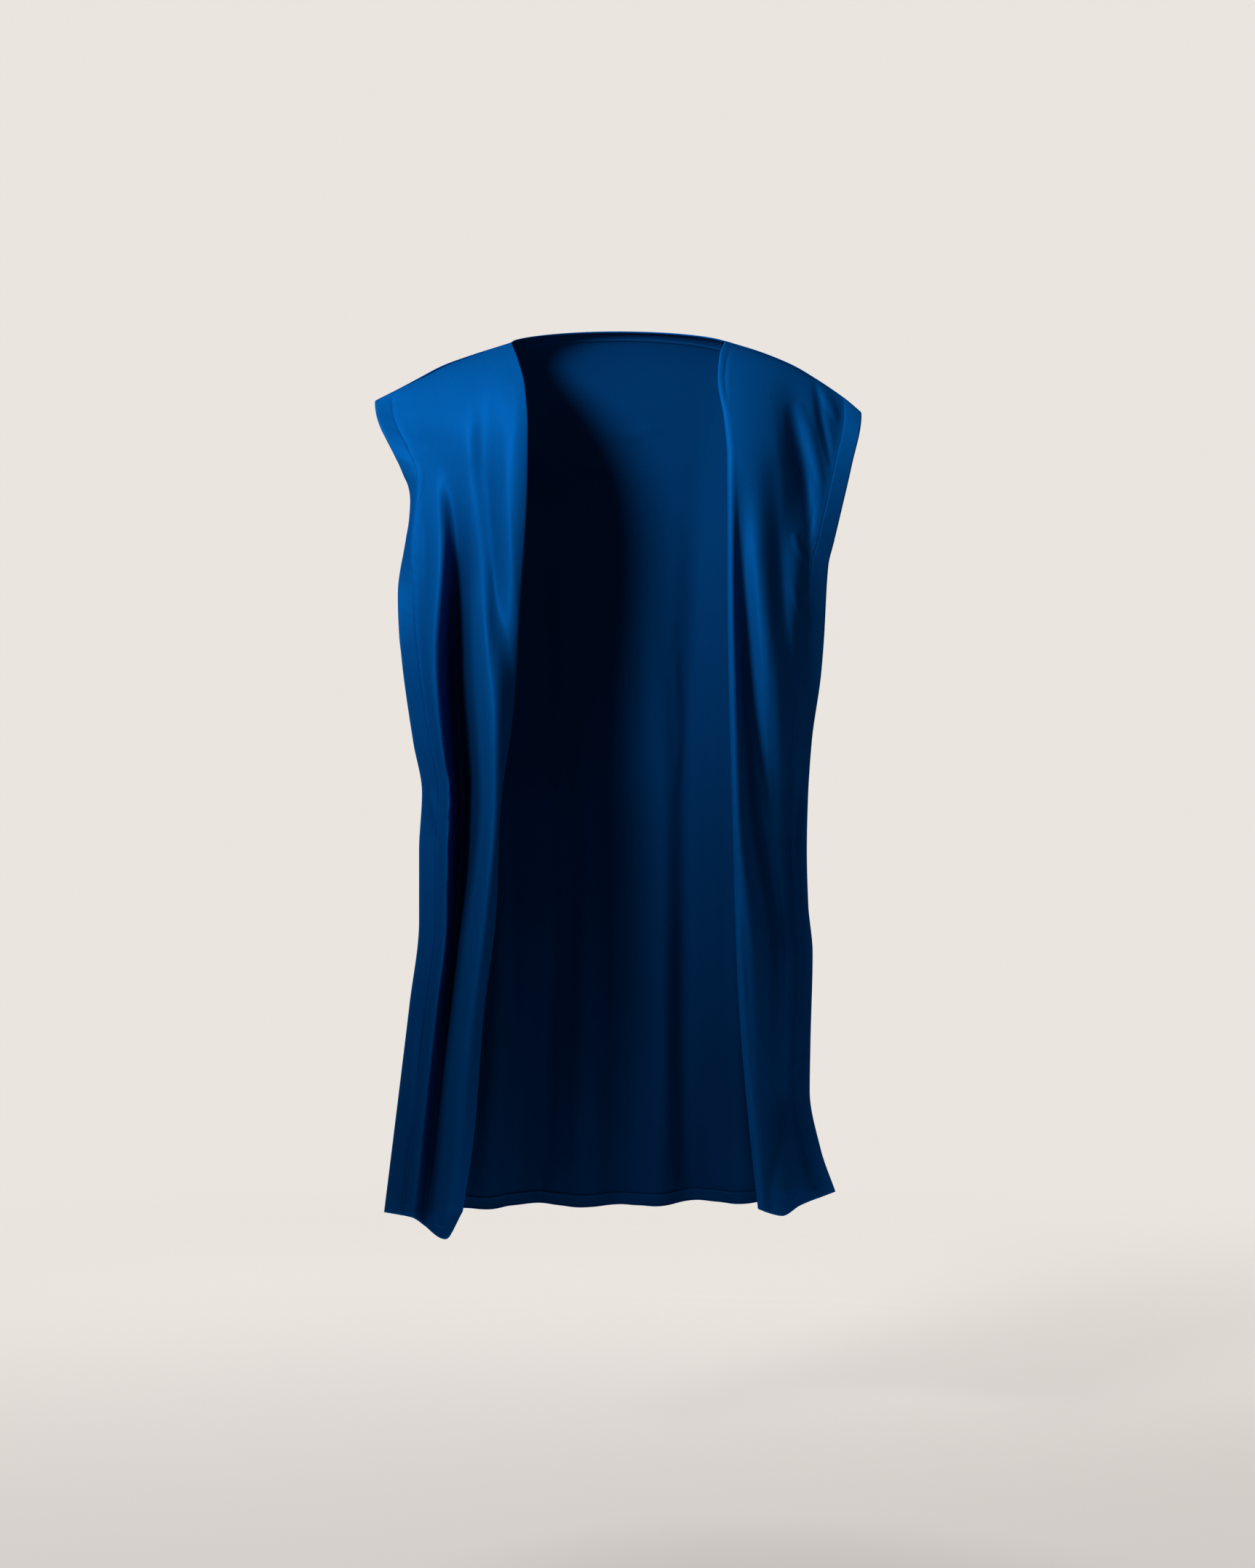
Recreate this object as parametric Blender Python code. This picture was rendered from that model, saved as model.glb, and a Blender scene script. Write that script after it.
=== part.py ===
"""Grand boubou robe, open-fronted, as it hangs from a wearer's shoulders.

Metres, +Z up, the front faces -Y and the wearer's right is -X. The origin lies between the shoulders, at the
height where the shoulder seams end beside the neck. Each piece of cloth is a thin wall around a grid of points.
A row of the grid crosses the panel from its side edge to its front edge, and the rows run from shoulder to hem.
"""

from collections import namedtuple

import bmesh
import bpy
import numpy as np

# Cloth and sewing
PANEL_WALL = 0.0014
BAND_WALL = 0.0010
SEAM_GAP = 0.0003
SIDE_BAND = 0.024
HEM_BAND = 0.016
EDGE_FACING = 0.012

# Where the pieces meet
ARMHOLE_JOIN = -0.270
NECK_HALF_WIDTH = 0.1475
NECK_RISE = 0.024
NECK_BACK = 0.062
NECK_RISE_BLUNTNESS = 0.7
NECK_BACK_BLUNTNESS = 0.8
LEAN = -0.012
LENGTH = 1.20

# The fronts' outline was read from this eye point, so cloth nearer to it is a little smaller than it looks
EYE_X = 0.0125
EYE_Z = -0.608
EYE_DISTANCE = 4.0

# How finely the cloth is divided, and how close the first rows are beside evenly spaced ones
ROWS = 29
FIRST_ROWS = 0.2
FRONT_COLUMNS = 13
SHOULDER_COLUMNS = 7
NECK_COLUMNS = 18

# How far below the shoulder the cloth has turned from lying on it to hanging
ROUND_AT_TIP = 0.030
ROUND_AT_NECK = 0.200

# How gently the cloth bends away from its side band
LEAVE_BAND = 1.25

CLOTH_BLUE = (0.004, 0.085, 0.290, 1.0)
BAND_BLUE = (0.004, 0.075, 0.260, 1.0)
CLOTH_ROUGHNESS = 0.55
CREASE_ANGLE = np.radians(50.0)

# An edge of a panel, from top to bottom: height, place across, and depth
Edge = namedtuple("Edge", "z x y")

RIGHT_SIDE_EDGE = [
    Edge(-0.082, -0.334, -0.006),
    Edge(-0.094, -0.333, -0.012),
    Edge(-0.170, -0.301, -0.034),
    Edge(-0.223, -0.280, -0.042),
    Edge(-0.257, -0.282, -0.046),
    Edge(-0.300, -0.300, -0.050),
    Edge(-0.346, -0.304, -0.052),
    Edge(-0.436, -0.297, -0.048),
    Edge(-0.551, -0.281, -0.030),
    Edge(-0.620, -0.269, -0.010),
    Edge(-0.700, -0.273, 0.0),
    Edge(-0.796, -0.273, 0.0),
    Edge(-0.910, -0.286, 0.0),
    Edge(-1.083, -0.307, 0.0),
    Edge(-1.196, -0.321, 0.0),
]

LEFT_SIDE_EDGE = [
    Edge(-0.098, 0.3335, -0.006),
    Edge(-0.170, 0.320, -0.032),
    Edge(-0.236, 0.305, -0.042),
    Edge(-0.276, 0.2955, -0.046),
    Edge(-0.308, 0.288, -0.050),
    Edge(-0.410, 0.282, -0.050),
    Edge(-0.458, 0.278, -0.046),
    Edge(-0.551, 0.265, -0.030),
    Edge(-0.631, 0.2595, -0.008),
    Edge(-0.700, 0.258, 0.0),
    Edge(-0.774, 0.260, 0.0),
    Edge(-0.840, 0.266, 0.0),
    Edge(-0.964, 0.263, 0.0),
    Edge(-1.030, 0.262, 0.0),
    Edge(-1.110, 0.277, 0.0),
    Edge(-1.168, 0.297, 0.0),
]

RIGHT_FRONT_EDGE = [
    Edge(-0.003, -0.147, -0.118),
    Edge(-0.022, -0.1395, -0.118),
    Edge(-0.062, -0.129, -0.118),
    Edge(-0.119, -0.125, -0.118),
    Edge(-0.188, -0.1255, -0.120),
    Edge(-0.364, -0.136, -0.124),
    Edge(-0.498, -0.144, -0.126),
    Edge(-0.650, -0.163, -0.128),
    Edge(-0.781, -0.168, -0.126),
    Edge(-0.930, -0.186, -0.116),
    Edge(-1.083, -0.198, -0.100),
    Edge(-1.195, -0.214, -0.088),
]

LEFT_FRONT_EDGE = [
    Edge(0.001, 0.1475, -0.118),
    Edge(-0.016, 0.1405, -0.118),
    Edge(-0.050, 0.1376, -0.118),
    Edge(-0.108, 0.146, -0.118),
    Edge(-0.157, 0.150, -0.120),
    Edge(-0.363, 0.1505, -0.124),
    Edge(-0.645, 0.157, -0.128),
    Edge(-0.879, 0.164, -0.128),
    Edge(-0.970, 0.170, -0.120),
    Edge(-1.070, 0.179, -0.110),
    Edge(-1.192, 0.192, -0.100),
]

# Heights along the shoulder seam and the hem, at a share of the way from the side edge to the front edge
Height = namedtuple("Height", "share z")

RIGHT_SHOULDER = [Height(0.0, -0.082), Height(0.20, -0.063), Height(0.33, -0.050), Height(0.50, -0.0335),
                  Height(0.69, -0.0205), Height(1.0, -0.002)]
LEFT_SHOULDER = [Height(0.0, -0.098), Height(0.10, -0.082), Height(0.21, -0.067), Height(0.34, -0.051),
                 Height(0.50, -0.0335), Height(0.74, -0.015), Height(1.0, 0.0)]
RIGHT_HEM = [Height(0.0, -1.196), Height(0.37, -1.204), Height(0.77, -1.233), Height(1.0, -1.195)]
LEFT_HEM = [Height(0.0, -1.168), Height(0.45, -1.187), Height(0.68, -1.201), Height(1.0, -1.192)]

BACK_HEM = [Height(0.0, -1.196), Height(0.15, -1.201), Height(0.50, -1.207), Height(0.85, -1.190),
            Height(1.0, -1.168)]

# The back's depth behind the shoulders
Depth = namedtuple("Depth", "z y")

BACK_DEPTH = [Depth(0.0, 0.118), Depth(-0.200, 0.122), Depth(-0.450, 0.118), Depth(-0.800, 0.126),
              Depth(-1.200, 0.138)]
BACK_REACH = 0.200

# Long folds: where each starts, its place across at three heights, half its width, and how far it stands out
# of the cloth halfway down and at the hem. A valley stands in, so its heights are negative.
Fold = namedtuple("Fold", "start top_x middle_x low_x half_width middle_height low_height")
FOLD_TOP = -0.25
FOLD_MIDDLE = -0.60
FOLD_LOW = -1.19
FOLD_FADE = 0.26

RIGHT_FOLDS = {
    "outer ridge": Fold(-0.20, -0.246, -0.256, -0.290, 0.024, 0.010, 0.014),
    "deep valley": Fold(-0.22, -0.231, -0.230, -0.264, 0.030, -0.034, -0.026),
    "main ridge": Fold(-0.14, -0.197, -0.183, -0.238, 0.036, 0.022, 0.052),
    "shallow valley": Fold(-0.12, -0.168, -0.160, -0.222, 0.018, -0.009, -0.004),
}

LEFT_FOLDS = {
    "front valley": Fold(-0.16, 0.170, 0.173, 0.205, 0.020, -0.012, -0.006),
    "broad ridge": Fold(-0.16, 0.201, 0.202, 0.232, 0.034, 0.020, 0.042),
    "dark valley": Fold(-0.08, 0.242, 0.240, 0.262, 0.028, -0.030, -0.014),
}

BACK_FOLDS = {
    "right outer ridge": Fold(-0.16, -0.226, -0.205, -0.240, 0.036, 0.012, 0.022),
    "right valley": Fold(-0.22, -0.178, -0.152, -0.178, 0.030, -0.012, -0.020),
    "right inner ridge": Fold(-0.12, -0.118, -0.100, -0.112, 0.036, 0.010, 0.018),
    "right centre valley": Fold(-0.34, -0.058, -0.046, -0.052, 0.034, -0.008, -0.016),
    "centre ridge": Fold(-0.42, 0.000, 0.010, 0.004, 0.032, 0.006, 0.014),
    "left centre valley": Fold(-0.30, 0.052, 0.058, 0.058, 0.034, -0.010, -0.018),
    "left inner ridge": Fold(-0.14, 0.112, 0.106, 0.108, 0.034, 0.012, 0.020),
    "left valley": Fold(-0.20, 0.172, 0.156, 0.164, 0.030, -0.012, -0.018),
    "left outer ridge": Fold(-0.16, 0.222, 0.204, 0.218, 0.034, 0.012, 0.020),
}


# A front panel: its edges, the heights of its shoulder seam and hem, and its folds
Front = namedtuple("Front", "side_edge front_edge shoulder hem folds")

FRONTS = {
    "right": Front(RIGHT_SIDE_EDGE, RIGHT_FRONT_EDGE, RIGHT_SHOULDER, RIGHT_HEM, RIGHT_FOLDS),
    "left": Front(LEFT_SIDE_EDGE, LEFT_FRONT_EDGE, LEFT_SHOULDER, LEFT_HEM, LEFT_FOLDS),
}


def remove_objects():
    for thing in list(bpy.data.objects):
        bpy.data.objects.remove(thing, do_unlink=True)


def along(rows, key, column, at):
    """Reads a column of a table at the given keys, along a smooth curve that never overshoots its rows."""
    order = sorted(rows, key=lambda row: getattr(row, key))
    keys = np.array([getattr(row, key) for row in order])
    values = np.array([getattr(row, column) for row in order])
    at = np.clip(at, keys[0], keys[-1])
    steps = np.diff(keys)
    slopes = np.diff(values) / steps
    tangents = np.zeros(len(keys))
    same_way = slopes[:-1] * slopes[1:] > 0.0
    middle = 2.0 * slopes[:-1] * slopes[1:] / np.where(same_way, slopes[:-1] + slopes[1:], 1.0)
    tangents[1:-1] = np.where(same_way, middle, 0.0)
    tangents[0] = slopes[0]
    tangents[-1] = slopes[-1]
    span = np.clip(np.searchsorted(keys, at, side="right") - 1, 0, len(keys) - 2)
    width = steps[span]
    part = (at - keys[span]) / width
    rising = part * part * (3.0 - 2.0 * part)
    leaving = part * (1.0 - part) ** 2 * width * tangents[span]
    arriving = part * part * (part - 1.0) * width * tangents[span + 1]
    return values[span] * (1.0 - rising) + values[span + 1] * rising + leaving + arriving


def ease(value):
    value = np.clip(value, 0.0, 1.0)
    return value * value * (3.0 - 2.0 * value)


def row_shares():
    """Shares of the way down the cloth, closer together over the shoulder. The last row of cells is the hem."""
    step = np.linspace(0.0, 1.0, ROWS)
    shares = step * (FIRST_ROWS + (1.0 - FIRST_ROWS) * step) * (1.0 - HEM_BAND / LENGTH)
    return np.append(shares, 1.0)


def round_over(drop, radius):
    """How far the cloth has turned over the shoulder: none on top of it, fully once it hangs."""
    left = 1.0 - np.clip(drop / radius, 0.0, 1.0)
    return np.sqrt(1.0 - left * left)


def through_three(z, low, middle, top):
    """A curve through the three values at the heights where folds are placed. It stays level outside them."""
    z = np.clip(z, FOLD_LOW, FOLD_TOP)
    from_low = (z - FOLD_MIDDLE) * (z - FOLD_TOP) / ((FOLD_LOW - FOLD_MIDDLE) * (FOLD_LOW - FOLD_TOP))
    from_middle = (z - FOLD_LOW) * (z - FOLD_TOP) / ((FOLD_MIDDLE - FOLD_LOW) * (FOLD_MIDDLE - FOLD_TOP))
    from_top = (z - FOLD_LOW) * (z - FOLD_MIDDLE) / ((FOLD_TOP - FOLD_LOW) * (FOLD_TOP - FOLD_MIDDLE))
    return low * from_low + middle * from_middle + top * from_top


def fold_height(folds, x, z, clear_of_edge):
    """Adds up the long folds at a place on a panel. They leave the flat band along the side edge alone."""
    total = 0.0
    for fold in folds.values():
        path = through_three(z, fold.low_x, fold.middle_x, fold.top_x)
        away = np.clip(np.abs(x - path) / fold.half_width, 0.0, 1.0)
        across = 0.5 + 0.5 * np.cos(np.pi * away)
        lower = ease((FOLD_MIDDLE - z) / (FOLD_MIDDLE - FOLD_LOW))
        height = fold.middle_height + (fold.low_height - fold.middle_height) * lower
        total += height * across * ease((fold.start - z) / FOLD_FADE)
    return total * ease(clear_of_edge / SIDE_BAND)


def depth_inward(side_y, full_y, inward):
    """Depth of hanging cloth that leaves the flat side band gently and rounds to its full depth."""
    return side_y + (full_y - side_y) * np.sin(0.5 * np.pi * np.clip(inward, 0.0, 1.0) ** LEAVE_BAND)


def from_eye(x, y, z):
    """Moves a point that was read on the plane through the shoulders to its own depth, along its line of sight."""
    nearer = 1.0 + y / EYE_DISTANCE
    return EYE_X + (x - EYE_X) * nearer, y, EYE_Z + (z - EYE_Z) * nearer


def side_depth(side_edge, z):
    """How far a side edge lies from the side seam's plane. Below the armhole only the bands lie between."""
    closed = BAND_WALL + 1.5 * SEAM_GAP
    return np.maximum(np.abs(along(side_edge, "z", "y", z)), closed)


def front_columns():
    """Columns from the side edge to the front edge: a share of the free width, and a fixed distance."""
    columns = [(0.0, 0.0), (0.0, 0.5 * SIDE_BAND)]
    columns += [(step / FRONT_COLUMNS, SIDE_BAND) for step in range(FRONT_COLUMNS + 1)]
    return columns + [(1.0, SIDE_BAND + EDGE_FACING)]


def front_point(panel, column, down):
    """One point of a front panel, at a column and a share of the way down the cloth."""
    share, fixed = column

    def distance_at(width):
        return fixed + share * (width - SIDE_BAND - EDGE_FACING)

    top_width = abs(panel.front_edge[0].x - panel.side_edge[0].x)
    low_width = abs(panel.front_edge[-1].x - panel.side_edge[-1].x)
    top_z = along(panel.shoulder, "share", "z", distance_at(top_width) / top_width)
    low_z = along(panel.hem, "share", "z", distance_at(low_width) / low_width)
    z = top_z + (low_z - top_z) * down
    side_x = along(panel.side_edge, "z", "x", z)
    front_x = along(panel.front_edge, "z", "x", z)
    width = abs(front_x - side_x)
    distance = distance_at(width)
    x = side_x + np.sign(front_x - side_x) * distance
    side_y = -side_depth(panel.side_edge, z)
    front_y = along(panel.front_edge, "z", "y", z)
    y = depth_inward(side_y, front_y, (distance - SIDE_BAND) / (width - SIDE_BAND))
    y -= fold_height(panel.folds, x, z, distance - SIDE_BAND)
    radius = ROUND_AT_TIP + (ROUND_AT_NECK - ROUND_AT_TIP) * ease(distance / width)
    y = y * round_over(top_z - z, radius)
    if down == 0.0:
        y = -0.5 * SEAM_GAP
    return from_eye(x, y, z)


def back_columns():
    """Columns across the back: both shoulders with their side bands, and the neck between them."""
    shoulder = [(0.0, 0.0), (0.0, 0.5 * SIDE_BAND)]
    shoulder += [(step / SHOULDER_COLUMNS, SIDE_BAND) for step in range(SHOULDER_COLUMNS + 1)]
    right = [("right", share, fixed) for share, fixed in shoulder]
    neck = [("neck", -1.0 + 2.0 * step / NECK_COLUMNS, 0.0) for step in range(1, NECK_COLUMNS)]
    left = [("left", share, fixed) for share, fixed in reversed(shoulder)]
    return right + neck + left


def back_point(column, down):
    """One point of the back panel. Its outer columns follow the side edges, its middle ones the neck."""
    place, share, fixed = column
    panel = FRONTS["left"] if place == "left" else FRONTS["right"]
    toward_middle = -1.0 if place == "left" else 1.0

    def across(z):
        lean = LEAN * min(1.0, max(0.0, -z / LENGTH))
        if place == "neck":
            x = lean + NECK_HALF_WIDTH * share
            width = min(abs(x - along(front.side_edge, "z", "x", z)) for front in FRONTS.values())
            return x, width, width
        side_x = along(panel.side_edge, "z", "x", z)
        width = abs(side_x - lean) - NECK_HALF_WIDTH
        distance = fixed + share * (width - SIDE_BAND)
        return side_x + toward_middle * distance, distance, width

    top_z = NECK_RISE * max(0.0, 1.0 - share * share) ** NECK_RISE_BLUNTNESS
    top_y = NECK_BACK * max(0.0, 1.0 - share * share) ** NECK_BACK_BLUNTNESS
    if place != "neck":
        distance, width = across(panel.side_edge[0].z)[1:]
        top_z = along(panel.shoulder, "share", "z", distance / width)
        top_y = 0.5 * SEAM_GAP
    right_end, left_end = FRONTS["right"].side_edge[-1].x, FRONTS["left"].side_edge[-1].x
    low_share = (across(-LENGTH)[0] - right_end) / (left_end - right_end)
    z = top_z + (along(BACK_HEM, "share", "z", low_share) - top_z) * down
    x, distance, width = across(z)
    full_y = along(BACK_DEPTH, "z", "y", z)
    y = depth_inward(side_depth(panel.side_edge, z), full_y, (distance - SIDE_BAND) / BACK_REACH)
    y += fold_height(BACK_FOLDS, x, z, distance - SIDE_BAND)
    radius = ROUND_AT_TIP + (ROUND_AT_NECK - ROUND_AT_TIP) * ease(distance / width)
    return x, top_y + (y - top_y) * round_over(top_z - z, radius), z


def surface(point, columns):
    """The grid of points of a panel, row by row from the shoulder to the hem."""
    return np.array([[point(column, down) for column in columns] for down in row_shares()])


def outward(points, seam_columns, facing):
    """Directions square to the cloth, away from the wearer, and in the seam's plane along the shoulder seam."""
    down = np.gradient(points, axis=0)
    across = np.gradient(points, axis=1)
    normals = np.cross(down, across)
    normals *= np.sign(np.mean(normals[..., 1]) * facing)
    normals[0, seam_columns, 1] = 0.0
    return normals / np.linalg.norm(normals, axis=2, keepdims=True)


def cut(grid, rows, columns, gaps=(0.0, 0.0, 0.0, 0.0)):
    """Part of a grid, with its top, bottom, first and last lines drawn in by a gap."""
    top, bottom, first, last = gaps
    piece = grid[:, rows[0] : rows[1] + 1, columns[0] : columns[1] + 1].copy()
    for lines, gap in ((piece, top), (piece[:, ::-1], bottom)):
        length = np.linalg.norm(lines[0, 1] - lines[0, 0], axis=-1)[:, None]
        lines[:, 0] += (lines[:, 1] - lines[:, 0]) * gap / length
    turned = piece.swapaxes(1, 2)
    for lines, gap in ((turned, first), (turned[:, ::-1], last)):
        length = np.linalg.norm(lines[0, 1] - lines[0, 0], axis=-1)[:, None]
        lines[:, 0] += (lines[:, 1] - lines[:, 0]) * gap / length
    return piece


def cloth_material(name, colour):
    material = bpy.data.materials.new(name)
    material.use_nodes = True
    shader = material.node_tree.nodes["Principled BSDF"]
    shader.inputs["Base Color"].default_value = colour
    shader.inputs["Roughness"].default_value = CLOTH_ROUGHNESS
    shader.inputs["Metallic"].default_value = 0.0
    return material


def wall(name, grid, inner, outer, colour):
    """A closed wall of cloth between two distances from a grid of points, measured away from the wearer."""
    points, normals = grid
    rows, columns = points.shape[:2]
    layers = [points + normals * inner, points + normals * outer]
    vertices = np.concatenate([layer.reshape(-1, 3) for layer in layers])
    count = rows * columns

    def at(layer, row, column):
        return layer * count + row * columns + column

    faces = []
    for row in range(rows - 1):
        for column in range(columns - 1):
            for layer in (0, 1):
                a, b = at(layer, row, column), at(layer, row, column + 1)
                c, d = at(layer, row + 1, column + 1), at(layer, row + 1, column)
                faces += [(a, d, c), (a, c, b)] if layer else [(a, c, d), (a, b, c)]
    rim = [(0, column) for column in range(columns - 1)]
    rim += [(row, columns - 1) for row in range(rows - 1)]
    rim += [(rows - 1, column) for column in range(columns - 1, 0, -1)]
    rim += [(row, 0) for row in range(rows - 1, 0, -1)]
    for here, after in zip(rim, rim[1:] + rim[:1]):
        a, b, c, d = at(0, *here), at(0, *after), at(1, *after), at(1, *here)
        faces += [(a, b, c), (a, c, d)]
    mesh = bpy.data.meshes.new(name)
    mesh.from_pydata([tuple(vertex) for vertex in vertices], [], faces)
    mesh.materials.append(cloth_material(name, colour))
    body = bmesh.new()
    body.from_mesh(mesh)
    bmesh.ops.recalc_face_normals(body, faces=body.faces)
    body.to_mesh(mesh)
    body.free()
    mesh.shade_smooth()
    mesh.set_sharp_from_angle(angle=CREASE_ANGLE)
    bpy.context.scene.collection.objects.link(bpy.data.objects.new(name, mesh))


def panel_wall(name, grid):
    wall(name, grid, 0.0, PANEL_WALL, CLOTH_BLUE)


def band_wall(name, grid, rows, columns, gaps=(0.0, 0.0, 0.0, 0.0)):
    """A turned-in band that lies on the inside of a panel."""
    wall(name, cut(grid, rows, columns, gaps), -SEAM_GAP - BAND_WALL, -SEAM_GAP, BAND_BLUE)


def join_row(grid, column):
    """The row of cells' edge nearest to the height where the armhole band is joined to the side band."""
    return int(np.argmin(np.abs(grid[0, :, column, 2] - ARMHOLE_JOIN)))


def side_bands(name, grid, columns, edge_column):
    last = grid.shape[1] - 1
    join = join_row(grid, edge_column)
    band_wall(f"armhole_band_{name}", grid, (0, join), columns)
    band_wall(f"side_band_{name}", grid, (join, last), columns, (SEAM_GAP, 0.0, 0.0, 0.0))


def build_front(side):
    columns = front_columns()
    points = surface(lambda column, down: front_point(FRONTS[side], column, down), columns)
    grid = np.array([points, outward(points, slice(None), -1.0)])
    last_row, last_column = points.shape[0] - 1, points.shape[1] - 1
    panel_wall(f"front_{side}_panel", grid)
    side_bands(f"front_{side}", grid, (0, 2), 0)
    band_wall(f"front_edge_facing_{side}", grid, (0, last_row), (last_column - 1, last_column))
    gaps = (0.0, 0.0, SEAM_GAP, SEAM_GAP)
    band_wall(f"hem_band_front_{side}", grid, (last_row - 1, last_row), (2, last_column - 1), gaps)


def build_back():
    columns = back_columns()
    points = surface(back_point, columns)
    shoulder = SHOULDER_COLUMNS + 3
    last_row, last_column = points.shape[0] - 1, points.shape[1] - 1
    seam = list(range(shoulder)) + list(range(last_column - shoulder + 1, last_column + 1))
    grid = np.array([points, outward(points, seam, 1.0)])
    panel_wall("back_panel", grid)
    side_bands("back_right", grid, (0, 2), 0)
    side_bands("back_left", grid, (last_column - 2, last_column), last_column)
    band_wall("neck_facing_back", grid, (0, 1), (shoulder - 1, last_column - shoulder + 1))
    gaps = (0.0, 0.0, SEAM_GAP, SEAM_GAP)
    band_wall("hem_band_back", grid, (last_row - 1, last_row), (2, last_column - 2), gaps)


def main():
    remove_objects()
    for side in FRONTS:
        build_front(side)
    build_back()


main()
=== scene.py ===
from collections import namedtuple

import bpy
import numpy as np
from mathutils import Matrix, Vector


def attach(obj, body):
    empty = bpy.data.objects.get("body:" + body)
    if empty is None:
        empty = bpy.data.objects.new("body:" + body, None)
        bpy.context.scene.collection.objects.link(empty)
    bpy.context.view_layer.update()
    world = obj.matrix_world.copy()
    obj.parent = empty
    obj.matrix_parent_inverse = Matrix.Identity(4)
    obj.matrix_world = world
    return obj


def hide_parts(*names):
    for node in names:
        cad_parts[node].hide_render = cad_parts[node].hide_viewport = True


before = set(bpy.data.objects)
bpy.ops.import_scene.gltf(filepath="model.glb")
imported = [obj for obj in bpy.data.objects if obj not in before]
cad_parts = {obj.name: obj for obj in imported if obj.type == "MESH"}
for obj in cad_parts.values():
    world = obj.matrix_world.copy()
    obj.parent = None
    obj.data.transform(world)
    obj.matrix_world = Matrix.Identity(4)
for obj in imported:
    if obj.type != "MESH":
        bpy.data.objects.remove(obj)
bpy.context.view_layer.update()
print("frame loaded")

# The columns of the tables below
edgeRow = namedtuple("edgeRow", "z x y")
heightRow = namedtuple("heightRow", "share z")
depthRow = namedtuple("depthRow", "z y")
foldRow = namedtuple("foldRow", "path heights sideHalf frontHalf spread")
creaseRow = namedtuple("creaseRow", "path half height")
turnRow = namedtuple("turnRow", "z x angle")


def rowsOf(kind, rows):
    return [kind(*row) for row in rows]


# Sizes that every panel shares
robe = {
    "sideBand": 0.024,
    "hemBand": 0.016,
    "edgeFacing": 0.012,
    "seamGap": 0.00003,        # seams are drawn closed; the solids keep 0.3 mm
    "gapShare": 0.3,           # share of the gap that each half of a side seam keeps
    "bandWall": 0.0010,
    "armholeJoin": -0.270,
    "neckHalfWidth": 0.1475,
    "neckRise": 0.024,
    "neckBack": 0.062,
    "neckRiseBluntness": 0.7,
    "neckBackBluntness": 0.8,
    "lean": -0.012,
    "length": 1.20,
    "roundAtTip": 0.030,
    "roundAtNeck": 0.200,
    "leaveBand": 1.25,
    "clothInner": 0.0002,
    "clothOuter": 0.0012,
    "rollRadius": 0.0016,
    "rollDepth": 0.0012,
    "wearReach": 0.0012,
    "rowStep": 0.0032,
    "leaveFlat": 0.014,
    "deepFold": 0.040,         # a fold this deep has its full painted shade
    "paintedFoldShadeFrom": 0.2,       # which sets in over this much below the shoulder's top
    "backClear": 0.008,
    "backClearFrom": 0.02,
    "turnFade": 0.035,
    "topFade": 0.006,          # relief fades out this close to the shoulder seam
    "aboveAll": 0.1,           # heights past both ends of the cloth
    "belowAll": -1.4,
    "sharpAngle": 70.0,
}

# The camera's eye point, from which the fronts' outline was read
eye = {"x": 0.0125, "z": -0.608, "distance": 4.0, "viewHeight": 2.156, "sensor": 36.0}


# Reads a table at the given keys, along a smooth curve that never overshoots its rows
def smoothAlong(keys, values, at):
    order = np.argsort(keys)
    keys, values = np.array(keys, dtype=float)[order], np.array(values, dtype=float)[order]
    at = np.clip(at, keys[0], keys[-1])
    steps = np.diff(keys)
    slopes = np.diff(values) / steps
    tangents = np.zeros(len(keys))
    sameWay = slopes[:-1] * slopes[1:] > 0.0
    middle = 2.0 * slopes[:-1] * slopes[1:] / np.where(sameWay, slopes[:-1] + slopes[1:], 1.0)
    tangents[1:-1] = np.where(sameWay, middle, 0.0)
    tangents[0] = slopes[0]
    tangents[-1] = slopes[-1]
    span = np.clip(np.searchsorted(keys, at, side="right") - 1, 0, len(keys) - 2)
    width = steps[span]
    part = (at - keys[span]) / width
    rising = part * part * (3.0 - 2.0 * part)
    leaving = part * (1.0 - part) ** 2 * width * tangents[span]
    arriving = part * part * (part - 1.0) * width * tangents[span + 1]
    return values[span] * (1.0 - rising) + values[span + 1] * rising + leaving + arriving


def readAlong(rows, key, column, at):
    return smoothAlong([getattr(row, key) for row in rows], [getattr(row, column) for row in rows], at)


def pairsAlong(pairs, at):
    return smoothAlong([pair[0] for pair in pairs], [pair[1] for pair in pairs], at)


def ease(value):
    value = np.clip(value, 0.0, 1.0)
    return value * value * (3.0 - 2.0 * value)


# A round hill: 1 in its middle and 0 from a distance of 1 on
def hill(away):
    return 0.5 + 0.5 * np.cos(np.pi * np.clip(away, 0.0, 1.0))


# Long folds leave the flat side band alone. Each has its path as pairs of height and place across, how far it
# stands out at some heights, the reach of its two flanks, and how much it has spread by the hem
def foldHeight(folds, x, z, clearOfEdge, toward):
    total = np.zeros(np.broadcast(x, z).shape)
    for fold in folds:
        gone = (x - pairsAlong(fold.path, z)) * toward
        spread = 1.0 + (fold.spread - 1.0) * ease(-z / robe["length"])
        half = np.where(gone > 0.0, fold.frontHalf, fold.sideHalf) * spread
        first, last = fold.heights[0][1], fold.heights[-1][1]
        heights = [(robe["aboveAll"], first), *fold.heights, (robe["belowAll"], last)]
        total = total + pairsAlong(heights, z) * hill(np.abs(gone) / half)
    return total * ease(clearOfEdge / robe["leaveFlat"])


creaseForm = {"early": 0.8, "blunt": 0.7, "endWidth": 0.55, "widening": 0.45}


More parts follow.
